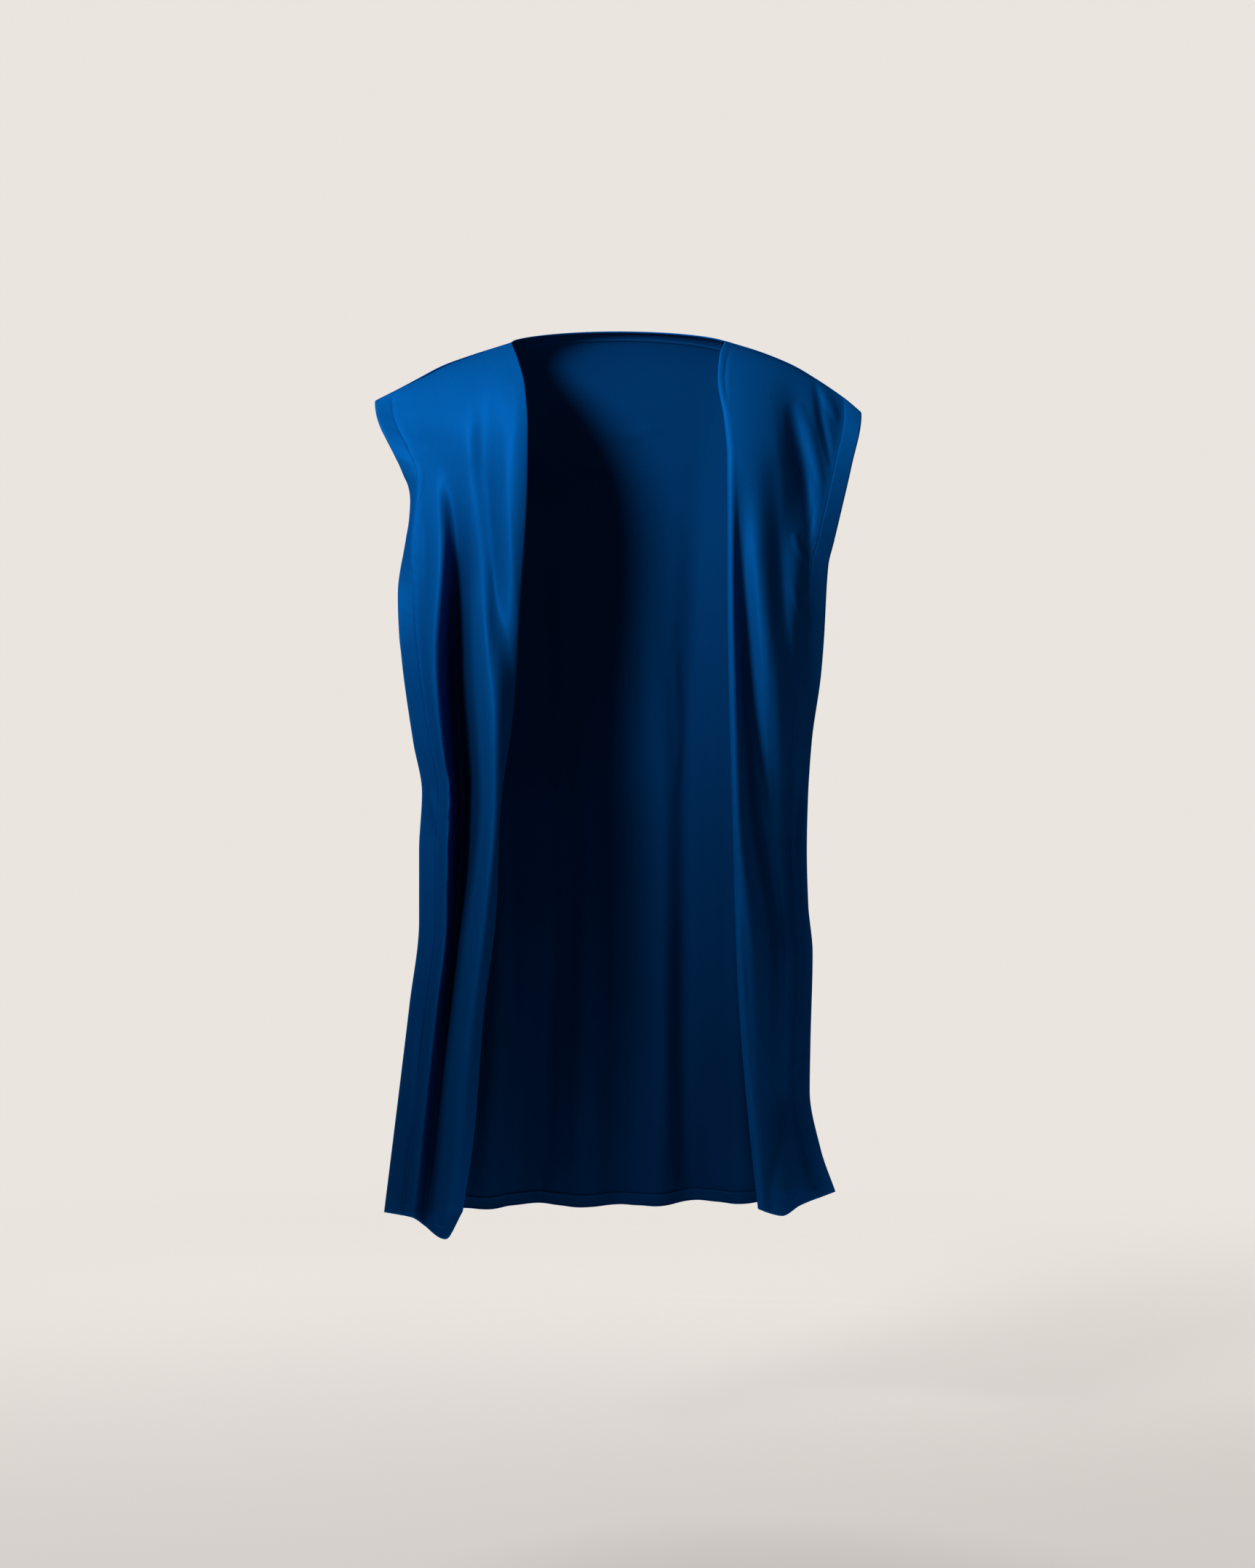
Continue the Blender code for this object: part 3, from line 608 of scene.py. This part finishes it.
def blend(nodes, links, first, second, factor):
    node = nodes.new("ShaderNodeMix")
    node.data_type = "RGBA"
    for socket, value in ((node.inputs[0], factor), (node.inputs[6], first), (node.inputs[7], second)):
        if isinstance(value, tuple):
            socket.default_value = (*value, 1.0)
        else:
            links.new(value, socket)
    return node.outputs[2]


def addBump(nodes, links, shader, height, finish):
    bump = nodes.new("ShaderNodeBump")
    setInputs(bump, {"Strength": finish["bump"], "Distance": finish["bumpDepth"]})
    links.new(height, bump.inputs["Height"])
    links.new(bump.outputs[0], shader.inputs["Normal"])


def clothMaterial(name, finish, weave):
    material, nodes, links, shader = newMaterial(name)
    math = mathIn(nodes, links)
    clothMap = nodes.new("ShaderNodeUVMap")
    clothMap.uv_map = "clothMap"
    woven = nodes.new("ShaderNodeGroup")
    woven.node_tree = weave
    setInputs(woven, {"Thread Pitch": finish["threadPitch"]})
    links.new(clothMap.outputs[0], woven.inputs["Cloth Map"])
    threads, slubs, clouds = (math("MULTIPLY", woven.outputs[part], share) for part, share in toneMix.items())
    tone = math("ADD", math("ADD", threads, slubs), clouds)
    colour = blend(nodes, links, finish["deep"], finish["bright"], tone)
    # Edge wear, then painted shade in deep folds, laid over the woven colour
    for label, shade in (("edgeWear", "worn"), ("deepFold", "sunk")):
        mask = nodes.new("ShaderNodeAttribute")
        mask.attribute_name = label
        amount = math("MULTIPLY", mask.outputs["Fac"], maskMix[shade])
        colour = blend(nodes, links, colour, finish[shade], amount)
    links.new(colour, shader.inputs["Base Color"])
    rough = math("ADD", finish["roughness"] - 0.5 * finish["roughSpread"],
                 math("MULTIPLY", woven.outputs["Slubs"], finish["roughSpread"]))
    links.new(rough, shader.inputs["Roughness"])
    addBump(nodes, links, shader, woven.outputs["Height"], finish)
    setInputs(shader, {"Metallic": finish["metallic"], "IOR": finish["index"],
                       "Specular IOR Level": finish["specular"], "Specular Tint": (*finish["tint"], 1.0)})
    return material


def threadMaterial(name, finish):
    material, nodes, links, shader = newMaterial(name)
    place = nodes.new("ShaderNodeTexCoord")
    twist = nodes.new("ShaderNodeTexNoise")
    setInputs(twist, {"Scale": finish["twistSize"]})
    links.new(place.outputs["Object"], twist.inputs["Vector"])
    links.new(blend(nodes, links, finish["deep"], finish["bright"], twist.outputs[0]), shader.inputs["Base Color"])
    addBump(nodes, links, shader, twist.outputs[0], finish)
    setInputs(shader, {"Roughness": finish["roughness"], "Specular Tint": (*finish["tint"], 1.0)})
    return material


weave = buildWeave()
robeCloth = clothMaterial("robeCloth", robeBlue, weave)
# The inner side's material, its colours darkened as painted shade
robeInsideShaded = clothMaterial("robeClothInside", insideShadedBlue, weave)
robeThread = threadMaterial("robeThread", threadBlue)
print("materials made")


# One small thread shape, repeated along each sewn line
stitches = {"Stitch Pitch": 0.0032, "Stitch Length": 0.0025, "Thread Radius": 0.00022, "Unevenness": 0.10}


def buildStitchTree():
    tree = bpy.data.node_groups.new("threadStitches", "GeometryNodeTree")
    face = tree.interface
    face.new_socket("Lines", in_out="INPUT", socket_type="NodeSocketGeometry")
    for name, value in stitches.items():
        face.new_socket(name, in_out="INPUT", socket_type="NodeSocketFloat").default_value = value
    face.new_socket("Seed", in_out="INPUT", socket_type="NodeSocketInt").default_value = 5
    face.new_socket("Thread", in_out="INPUT", socket_type="NodeSocketMaterial")
    face.new_socket("Stitches", in_out="OUTPUT", socket_type="NodeSocketGeometry")
    nodes, links = tree.nodes, tree.links
    math = mathIn(nodes, links)
    given, made = nodes.new("NodeGroupInput"), nodes.new("NodeGroupOutput")
    curve = nodes.new("GeometryNodeMeshToCurve")
    spaced = nodes.new("GeometryNodeResampleCurve")
    spaced.mode = "LENGTH"
    tangent = nodes.new("GeometryNodeInputTangent")
    normal = nodes.new("GeometryNodeInputNamedAttribute")
    normal.data_type = "FLOAT_VECTOR"
    setInputs(normal, {"Name": "clothNormal"})
    lengthwise = nodes.new("FunctionNodeAlignRotationToVector")
    lengthwise.axis = "Z"
    upright = nodes.new("FunctionNodeAlignRotationToVector")
    upright.axis = "X"
    upright.pivot_axis = "Z"
    thread = nodes.new("GeometryNodeMeshUVSphere")
    setInputs(thread, {"Segments": 5, "Rings": 4, "Radius": 1.0})
    chance = nodes.new("FunctionNodeRandomValue")
    chance.data_type = "FLOAT"
    half = math("MULTIPLY", given.outputs["Stitch Length"], 0.5)
    size = nodes.new("ShaderNodeCombineXYZ")
    placed = nodes.new("GeometryNodeInstanceOnPoints")
    real = nodes.new("GeometryNodeRealizeInstances")
    coloured = nodes.new("GeometryNodeSetMaterial")
    for source, target in (
            (given.outputs["Lines"], curve.inputs[0]),
            (curve.outputs[0], spaced.inputs["Curve"]),
            (given.outputs["Stitch Pitch"], spaced.inputs["Length"]),
            (tangent.outputs[0], lengthwise.inputs["Vector"]),
            (lengthwise.outputs[0], upright.inputs["Rotation"]),
            (normal.outputs["Attribute"], upright.inputs["Vector"]),
            (math("SUBTRACT", 1.0, given.outputs["Unevenness"]), chance.inputs[2]),
            (math("ADD", 1.0, given.outputs["Unevenness"]), chance.inputs[3]),
            (given.outputs["Seed"], chance.inputs["Seed"]),
            (given.outputs["Thread Radius"], size.inputs[0]),
            (given.outputs["Thread Radius"], size.inputs[1]),
            (math("MULTIPLY", half, chance.outputs[1]), size.inputs[2]),
            (spaced.outputs[0], placed.inputs["Points"]),
            (thread.outputs["Mesh"], placed.inputs["Instance"]),
            (upright.outputs[0], placed.inputs["Rotation"]),
            (size.outputs[0], placed.inputs["Scale"]),
            (placed.outputs[0], real.inputs[0]),
            (real.outputs[0], coloured.inputs["Geometry"]),
            (given.outputs["Thread"], coloured.inputs["Material"]),
            (coloured.outputs[0], made.inputs["Stitches"])):
        links.new(source, target)
    return tree


stitchTree = buildStitchTree()


# Each line is a pair: points along the stitches, and the cloth's direction there
def sewStitches(name, lines, seed):
    mesh = bpy.data.meshes.new(name + "Lines")
    points, normals = (np.concatenate(columns) for columns in zip(*lines))
    edges, first = [], 0
    for line, _ in lines:
        edges += [(first + step, first + step + 1) for step in range(len(line) - 1)]
        first += len(line)
    mesh.from_pydata(points.tolist(), edges, [])
    stored = mesh.attributes.new("clothNormal", "FLOAT_VECTOR", "POINT")
    stored.data.foreach_set("vector", np.ascontiguousarray(normals, dtype=np.float32).ravel())
    carrier = inScene(name + "Lines", mesh)
    modifier = carrier.modifiers.new("threadStitches", "NODES")
    modifier.node_group = stitchTree
    sockets = {item.name: item.identifier for item in stitchTree.interface.items_tree if item.in_out == "INPUT"}
    for label, value in {**stitches, "Seed": seed, "Thread": robeThread}.items():
        modifier[sockets[label]] = value
    graph = bpy.context.evaluated_depsgraph_get()
    sewn = bpy.data.meshes.new_from_object(carrier.evaluated_get(graph), depsgraph=graph)
    sewn.name = name
    sewn.shade_smooth()
    bpy.data.objects.remove(carrier, do_unlink=True)
    return inScene(name, sewn)


# The place on each row of a grid where the distance from an edge has a given value
def columnLine(points, normals, distance, wanted):
    rows = np.arange(points.shape[0])
    way = 1 if distance[0, 0] < distance[0, -1] else -1
    points, normals, distance = points[:, ::way], normals[:, ::way], distance[:, ::way]
    column = np.clip(np.array([np.searchsorted(line, wanted) for line in distance]), 1, points.shape[1] - 1)
    before, after = distance[rows, column - 1], distance[rows, column]
    part = ((wanted - before) / np.maximum(after - before, 1e-9))[:, None]
    return [grid[rows, column - 1] * (1.0 - part) + grid[rows, column] * part for grid in (points, normals)]


# Bands: narrow turned-in strips of the same cloth on the inside of a panel, given by their rows and columns.
# They stay some rows and columns clear of the panel's own rolled edges
bands = {"inner": -0.0009, "outer": -0.0001, "threadLift": 0.0001, "wear": 0.15, "clearSide": 4, "clearEnd": 3,
         "neckFacing": 0.012, "neckStitchRows": 2}
threadOut, threadIn = robe["clothOuter"] + bands["threadLift"], bands["inner"] - bands["threadLift"]
belowSeam = slice(bands["clearEnd"], None)


def bandPiece(name, node, points, normals, rows, columns):
    cut = (slice(*rows), slice(*columns))
    # The bands take the inner side's colours, darkened as painted shade
    piece = shell(name, points[cut], normals[cut], bands["inner"], bands["outer"], bands["wear"], 0.0, [robeInsideShaded])
    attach(piece, "root")
    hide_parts(node)
    return piece


def lifted(line, height, rows=slice(None)):
    points, normals = line
    return (points + normals * height)[rows], normals[rows]


def bothSides(line, rows=slice(None)):
    return [lifted(line, height, rows) for height in (threadOut, threadIn)]


def nearest(values, wanted):
    return int(np.argmin(np.abs(values - wanted)))


def makePanel(panel, points, normals, edges, paintedShade, strips, lines):
    # Outer faces take the outer finish with its painted fold shade, inner faces the inner side's colours darkened as
    # painted shade
    piece = shell(panel["name"] + "Cloth", points, normals, robe["clothInner"], robe["clothOuter"],
                  edgeWear(edges), paintedShade, [robeCloth, robeInsideShaded])
    parts = [bandPiece(name, node, points, normals, rows, columns) for name, node, rows, columns in strips]
    thread = sewStitches(panel["name"] + "Stitches", lines, panel["seed"])
    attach(thread, "root")
    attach(piece, "root")
    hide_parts(panel["nodes"] + "_panel")
    measured = 0.5 * sum(face.area for face in piece.data.polygons)
    print(piece.name, "area", round(measured, 4), "flat", panel["flat"], "triangles",
          2 * len(piece.data.polygons), "and stitches", sum(len(face.vertices) - 2 for face in thread.data.polygons))


def makeFront(panel):
    band, node = robe["sideBand"], panel["nodes"]
    free = np.linspace(0.0, 1.0, panel["freeColumns"] + 1)
    shares = np.concatenate([np.zeros(len(bandSteps)), free, np.ones(len(facingSteps))])[None, :]
    fixed = np.concatenate([bandSteps, np.full(len(free), band), band + np.array(facingSteps)])[None, :]
    points, distance, width, rise, paintedShade = frontGrid(panel, shares, fixed, downShares(robe["rowStep"]))
    fromFront = np.broadcast_to(width - distance, distance.shape)
    edges = [distance, fromFront, rise]
    points, normals = rollEdges(points, edges, slice(None), -1.0)
    rows, columns = points.shape[:2]
    join = nearest(points[:, 0, 2], robe["armholeJoin"])
    rising = rise[:, columns // 2]
    hemStart, hemRow = nearest(rising, robe["hemBand"]), nearest(rising, robe["hemBand"] - stitchIn)
    low, last = rows - bands["clearEnd"], columns - bands["clearEnd"]
    bandEnd, facingStart = len(bandSteps) + 1, columns - len(facingSteps) - 1
    onBand = (bands["clearSide"], bandEnd)
    side = panel["name"].replace("front", "Front")
    strips = [("armholeBand" + side, "armhole_band_" + node, (1, join), onBand),
              ("sideBand" + side, "side_band_" + node, (join, low), onBand),
              ("edgeFacing" + side, node.replace("front", "front_edge_facing"), (1, low), (facingStart, last)),
              ("hemBand" + side, "hem_band_" + node, (hemStart, low), (bandEnd, facingStart))]
    bandLine = columnLine(points, normals, distance, band - stitchIn)
    facingLine = columnLine(points, normals, fromFront, robe["edgeFacing"] - stitchIn)
    hemLine = (points[hemRow, bandEnd: facingStart], normals[hemRow, bandEnd: facingStart])
    lines = [*bothSides(bandLine, belowSeam), lifted(facingLine, threadIn, belowSeam), *bothSides(hemLine)]
    makePanel(panel, points, normals, edges, paintedShade, strips, lines)


# The back is one grid: a stretch under each shoulder seam, and one below the neck between them
backPanel = {
    "name": "back",
    "nodes": "back",
    "flat": (0.80, 1.25),
    "area": 0.838,
    "hem": rowsOf(heightRow, [
        (0.0, -1.196), (0.15, -1.201), (0.50, -1.207), (0.85, -1.190), (1.0, -1.168)]),
    "depth": rowsOf(depthRow, [
        (0.0, 0.118), (-0.200, 0.122), (-0.450, 0.118), (-0.800, 0.126), (-1.200, 0.138)]),
    "reach": 0.200,
    "folds": rowsOf(foldRow, [
        ([(-0.20, -0.230), (-0.45, -0.212), (-0.75, -0.208), (-1.19, -0.240)],
         [(-0.12, 0.0), (-0.30, 0.010), (-0.60, 0.014), (-1.20, 0.024)], 0.030, 0.040, 1.2),
        ([(-0.25, -0.180), (-0.50, -0.160), (-0.80, -0.154), (-1.19, -0.178)],
         [(-0.18, 0.0), (-0.38, -0.010), (-0.70, -0.016), (-1.20, -0.024)], 0.030, 0.022, 1.2),
        ([(-0.15, -0.126), (-0.40, -0.106), (-0.80, -0.102), (-1.19, -0.114)],
         [(-0.10, 0.0), (-0.32, 0.008), (-0.70, 0.013), (-1.20, 0.020)], 0.038, 0.030, 1.1),
        ([(-0.35, -0.058), (-0.70, -0.044), (-1.19, -0.056)],
         [(-0.33, 0.0), (-0.62, -0.009), (-1.20, -0.018)], 0.028, 0.036, 1.2),
        ([(-0.40, 0.004), (-0.75, 0.012), (-1.19, 0.002)],
         [(-0.40, 0.0), (-0.72, 0.008), (-1.20, 0.016)], 0.034, 0.026, 1.1),
        ([(-0.30, 0.050), (-0.70, 0.060), (-1.19, 0.056)],
         [(-0.28, 0.0), (-0.58, -0.011), (-1.20, -0.020)], 0.028, 0.036, 1.1),
        ([(-0.15, 0.118), (-0.50, 0.106), (-0.85, 0.104), (-1.19, 0.110)],
         [(-0.12, 0.0), (-0.34, 0.010), (-0.68, 0.014), (-1.20, 0.022)], 0.036, 0.028, 1.2),
        ([(-0.22, 0.174), (-0.50, 0.158), (-0.85, 0.154), (-1.19, 0.166)],
         [(-0.18, 0.0), (-0.40, -0.012), (-0.75, -0.015), (-1.20, -0.022)], 0.024, 0.034, 1.2),
        ([(-0.18, 0.226), (-0.50, 0.206), (-0.80, 0.200), (-1.19, 0.220)],
         [(-0.12, 0.0), (-0.30, 0.009), (-0.65, 0.013), (-1.20, 0.022)], 0.038, 0.028, 1.1)]),
    "creases": rowsOf(creaseRow, [
        ([(-0.262, -0.070), (-0.250, -0.150), (-0.246, -0.240)], 0.0160, -0.0050),
        ([(-0.228, -0.060), (-0.214, -0.150), (-0.208, -0.260)], 0.0180, 0.0040),
        ([(0.256, -0.070), (0.262, -0.160), (0.250, -0.260)], 0.0150, -0.0048),
        ([(0.222, -0.055), (0.232, -0.140), (0.226, -0.230)], 0.0170, 0.0038),
        ([(-0.090, -0.045), (-0.050, -0.095), (0.010, -0.118), (0.060, -0.104)], 0.0150, -0.0026),
        ([(-0.120, -0.085), (-0.060, -0.150), (0.020, -0.178)], 0.0180, 0.0022),
        ([(-0.246, -0.250), (-0.236, -0.330), (-0.240, -0.410)], 0.0080, 0.0020),
        ([(0.236, -0.270), (0.226, -0.350), (0.222, -0.430)], 0.0080, -0.0020),
        ([(0.080, -0.420), (0.086, -0.540), (0.078, -0.640)], 0.0110, -0.0022),
        ([(-0.078, -0.500), (-0.072, -0.610), (-0.082, -0.700)], 0.0100, 0.0020),
        ([(0.140, -0.720), (0.136, -0.850), (0.142, -0.960)], 0.0100, 0.0022),
        ([(-0.150, -0.800), (-0.146, -0.930), (-0.156, -1.050)], 0.0110, -0.0024)]),
    "rowStep": 0.0046,
    "shoulderColumns": 24,
    "neckColumns": 74,
    "seed": 37,
    "sideSeed": 3,
}


def backRelief(x, z, distance, rise):
    side, seed = int(np.sign(x.mean())), backPanel["seed"]
    relief = creaseHeight(backPanel["creases"], x, z)
    relief = relief + sewnLine(distance, robe["sideBand"] - stitchIn, z, seed + backPanel["sideSeed"] * side)
    return relief + sewnLine(rise, robe["hemBand"] - stitchIn, x, seed + 1)


def backHemHeight(x):
    rightEnd, leftEnd = frontRight["sideEdge"][-1].x, frontLeft["sideEdge"][-1].x
    return readAlong(backPanel["hem"], "share", "z", (x - rightEnd) / (leftEnd - rightEnd))


def leanAt(z):
    return robe["lean"] * np.clip(-z / robe["length"], 0.0, 1.0)


# across(z) gives the places across, their distances from the side edge, and the whole distance to the neck
def backGrid(across, sideEdge, topZ, topY, down):
    lowZ = backHemHeight(across(-robe["length"])[0])
    z = topZ + (lowZ - topZ) * down
    x, distance, width = across(z)
    rise = z - lowZ
    inside = distance - robe["sideBand"]
    fullY = readAlong(backPanel["depth"], "z", "y", z)
    y = depthInward(sideDepth(sideEdge, z), fullY, inside / backPanel["reach"])
    y = y + foldHeight(backPanel["folds"], x, z, inside, 1.0)
    y = y + backRelief(x, z, distance, rise) * ease((topZ - z) / robe["topFade"])
    y = topY + (y - topY) * roundOver(topZ - z, roundAt(distance / width))
    return np.stack(np.broadcast_arrays(x, y, z), axis=-1), np.broadcast_to(distance, x.shape), rise


def backHalf(panel, toward, shares, fixed, down):
    def across(z):
        sideX = readAlong(panel["sideEdge"], "z", "x", z)
        width = np.abs(sideX - leanAt(z)) - robe["neckHalfWidth"]
        distance = fixed + shares * (width - robe["sideBand"])
        return sideX + toward * distance, distance, width

    _, distance, width = across(panel["sideEdge"][0].z)
    topZ = readAlong(panel["shoulder"], "share", "z", distance / width)
    return backGrid(across, panel["sideEdge"], topZ, 0.5 * robe["seamGap"], down)


def backNeck(shares, down):
    def across(z):
        x = leanAt(z) + robe["neckHalfWidth"] * shares
        distance = np.minimum(*(np.abs(x - readAlong(panel["sideEdge"], "z", "x", z))
                                for panel in (frontRight, frontLeft)))
        return x, distance, distance

    blunt = np.maximum(0.0, 1.0 - shares * shares)
    topZ = robe["neckRise"] * blunt ** robe["neckRiseBluntness"]
    topY = robe["neckBack"] * blunt ** robe["neckBackBluntness"]
    return backGrid(across, frontRight["sideEdge"], topZ, topY, down)


def makeBack():
    free = np.linspace(0.0, 1.0, backPanel["shoulderColumns"] + 1)
    shares = np.concatenate([np.zeros(len(bandSteps)), free])
    fixed = np.concatenate([bandSteps, np.full(len(free), robe["sideBand"])])
    down = downShares(backPanel["rowStep"])
    right = backHalf(frontRight, 1.0, shares[None, :], fixed[None, :], down)
    left = backHalf(frontLeft, -1.0, shares[None, :], fixed[None, :], down)
    neck = backNeck(np.linspace(-1.0, 1.0, backPanel["neckColumns"] + 1)[1:-1][None, :], down)
    points, distance, rise = (np.concatenate([a, b, c[:, ::-1]], axis=1) for a, b, c in zip(right, neck, left))
    shoulder = shares.size
    rows, columns = points.shape[:2]
    underNeck = slice(shoulder, columns - shoulder)
    fromNeck = np.full(distance.shape, 1.0)
    fromNeck[:, underNeck] = points[0, underNeck, 2] - points[:, underNeck, 2]
    seam = list(range(shoulder)) + list(range(columns - shoulder, columns))
    edges = [distance, rise, fromNeck]
    points, normals = rollEdges(points, edges, seam, 1.0)
    middle, inset = columns // 2, bands["clearSide"]
    bandEnd, low = len(bandSteps) + 1, rows - bands["clearEnd"]
    hemStart = nearest(rise[:, middle], robe["hemBand"])
    hemRow = nearest(rise[:, middle], robe["hemBand"] - stitchIn)
    neckEnd = nearest(fromNeck[:, middle], bands["neckFacing"])
    strips = []
    for side, cut, edge in (("Right", (inset, bandEnd), 0), ("Left", (columns - bandEnd, columns - inset), -1)):
        join = nearest(points[:, edge, 2], robe["armholeJoin"])
        node = "back_" + side.lower()
        strips += [("armholeBandBack" + side, "armhole_band_" + node, (1, join), cut),
                   ("sideBandBack" + side, "side_band_" + node, (join, low), cut)]
    strips += [("neckFacingBack", "neck_facing_back", (bands["clearEnd"], neckEnd), (shoulder, columns - shoulder)),
               ("hemBandBack", "hem_band_back", (hemStart, low), (bandEnd, columns - bandEnd))]
    lines = []
    for cut in (slice(0, middle), slice(columns - middle, columns)):
        line = columnLine(points[:, cut], normals[:, cut], distance[:, cut], robe["sideBand"] - stitchIn)
        lines += bothSides(line, belowSeam)
    for row, cut in ((hemRow, slice(bandEnd, columns - bandEnd)), (neckEnd - bands["neckStitchRows"], underNeck)):
        lines += bothSides((points[row, cut], normals[row, cut]))
    makePanel(backPanel, points, normals, edges, 0.0, strips, lines)


makeFront(frontRight)
makeFront(frontLeft)
makeBack()
print("panels, bands and stitches made")


# The room: a pale floor that fades into a pale surround, soft studio light and the camera
room = {"floorZ": -1.57, "floorRadius": 3.2, "floorSides": 96, "floorColour": (0.82, 0.78, 0.75),
        "floorRoughness": 0.9, "floorSpecular": 0.1, "floorGlow": 0.60, "fadeFrom": 0.7, "fadeEnd": 0.1,
        "surround": (0.83, 0.78, 0.74), "ambient": 0.06,
        "keyPlace": (-1.82, -2.38, 0.95), "keySize": 0.9, "keySpread": 46.0, "keyPower": 14.8,
        "keyColour": (1.0, 0.98, 0.95),
        "fillPlace": (2.4, -2.6, 0.2), "fillSize": 1.8, "fillSpread": 180.0, "fillPower": 1.6,
        "fillColour": (0.94, 0.97, 1.0),
        "rearPlace": (-1.2, 2.6, 0.7), "rearSize": 1.8, "rearSpread": 180.0, "rearPower": 45.0,
        "rearColour": (1.0, 1.0, 1.0),
        "aim": (-0.14, 0.0, 0.32)}


def makeFloor():
    mesh = bpy.data.meshes.new("paleFloor")
    turns = np.linspace(0.0, 2.0 * np.pi, room["floorSides"], endpoint=False)
    ring = [(room["floorRadius"] * np.cos(t), room["floorRadius"] * np.sin(t), room["floorZ"]) for t in turns]
    mesh.from_pydata(ring, [], [tuple(range(len(ring)))])
    material, nodes, links, shader = newMaterial("paleFloor")
    setInputs(shader, {"Base Color": (*room["floorColour"], 1.0), "Roughness": room["floorRoughness"],
                       "Specular IOR Level": room["floorSpecular"], "Emission Color": (*room["surround"], 1.0),
                       "Emission Strength": room["floorGlow"]})
    place = nodes.new("ShaderNodeTexCoord")
    flat = nodes.new("ShaderNodeVectorMath")
    flat.operation = "MULTIPLY"
    flat.inputs[1].default_value = (1.0, 1.0, 0.0)
    length = nodes.new("ShaderNodeVectorMath")
    length.operation = "LENGTH"
    fade = nodes.new("ShaderNodeMapRange")
    fade.interpolation_type = "SMOOTHSTEP"
    setInputs(fade, {"From Min": room["fadeFrom"], "From Max": room["floorRadius"] - room["fadeEnd"],
                     "To Min": 1.0, "To Max": 0.0})
    links.new(place.outputs["Object"], flat.inputs[0])
    links.new(flat.outputs[0], length.inputs[0])
    links.new(length.outputs["Value"], fade.inputs["Value"])
    links.new(fade.outputs[0], shader.inputs["Alpha"])
    mesh.materials.append(material)
    inScene("paleFloor", mesh)


def makeLight(kind):
    place = Vector(room[kind + "Place"])
    data = bpy.data.lights.new(kind + "Light", "AREA")
    data.shape = "DISK"
    data.size = room[kind + "Size"]
    data.spread = np.radians(room[kind + "Spread"])
    data.energy = room[kind + "Power"]
    data.color = room[kind + "Colour"]
    light = inScene(kind + "Light", data)
    light.location = place
    light.visible_camera = False
    light.rotation_euler = (Vector(room["aim"]) - place).to_track_quat("-Z", "Y").to_euler()


# The surround looks pale but gives only a little light of its own
def makeSurround():
    world = bpy.data.worlds.new("paleSurround")
    bpy.context.scene.world = world
    world.use_nodes = True
    nodes, links = world.node_tree.nodes, world.node_tree.links
    nodes.clear()
    seen, given = nodes.new("ShaderNodeBackground"), nodes.new("ShaderNodeBackground")
    setInputs(seen, {"Color": (*room["surround"], 1.0)})
    setInputs(given, {"Color": (*room["surround"], 1.0), "Strength": room["ambient"]})
    ray, mix = nodes.new("ShaderNodeLightPath"), nodes.new("ShaderNodeMixShader")
    made = nodes.new("ShaderNodeOutputWorld")
    links.new(ray.outputs["Is Camera Ray"], mix.inputs[0])
    links.new(given.outputs[0], mix.inputs[1])
    links.new(seen.outputs[0], mix.inputs[2])
    links.new(mix.outputs[0], made.inputs["Surface"])


def makeCamera():
    data = bpy.data.cameras.new("photoView")
    data.sensor_fit = "VERTICAL"
    data.sensor_height = eye["sensor"]
    data.lens = eye["sensor"] * eye["distance"] / eye["viewHeight"]
    camera = inScene("photoView", data)
    camera.location = (eye["x"], -eye["distance"], eye["z"])
    camera.rotation_euler = (0.5 * np.pi, 0.0, 0.0)
    bpy.context.scene.camera = camera


makeFloor()
for kind in ("key", "fill", "rear"):
    makeLight(kind)
makeSurround()
makeCamera()
bpy.context.scene.view_settings.view_transform = "Standard"
print("room, lights and camera made")
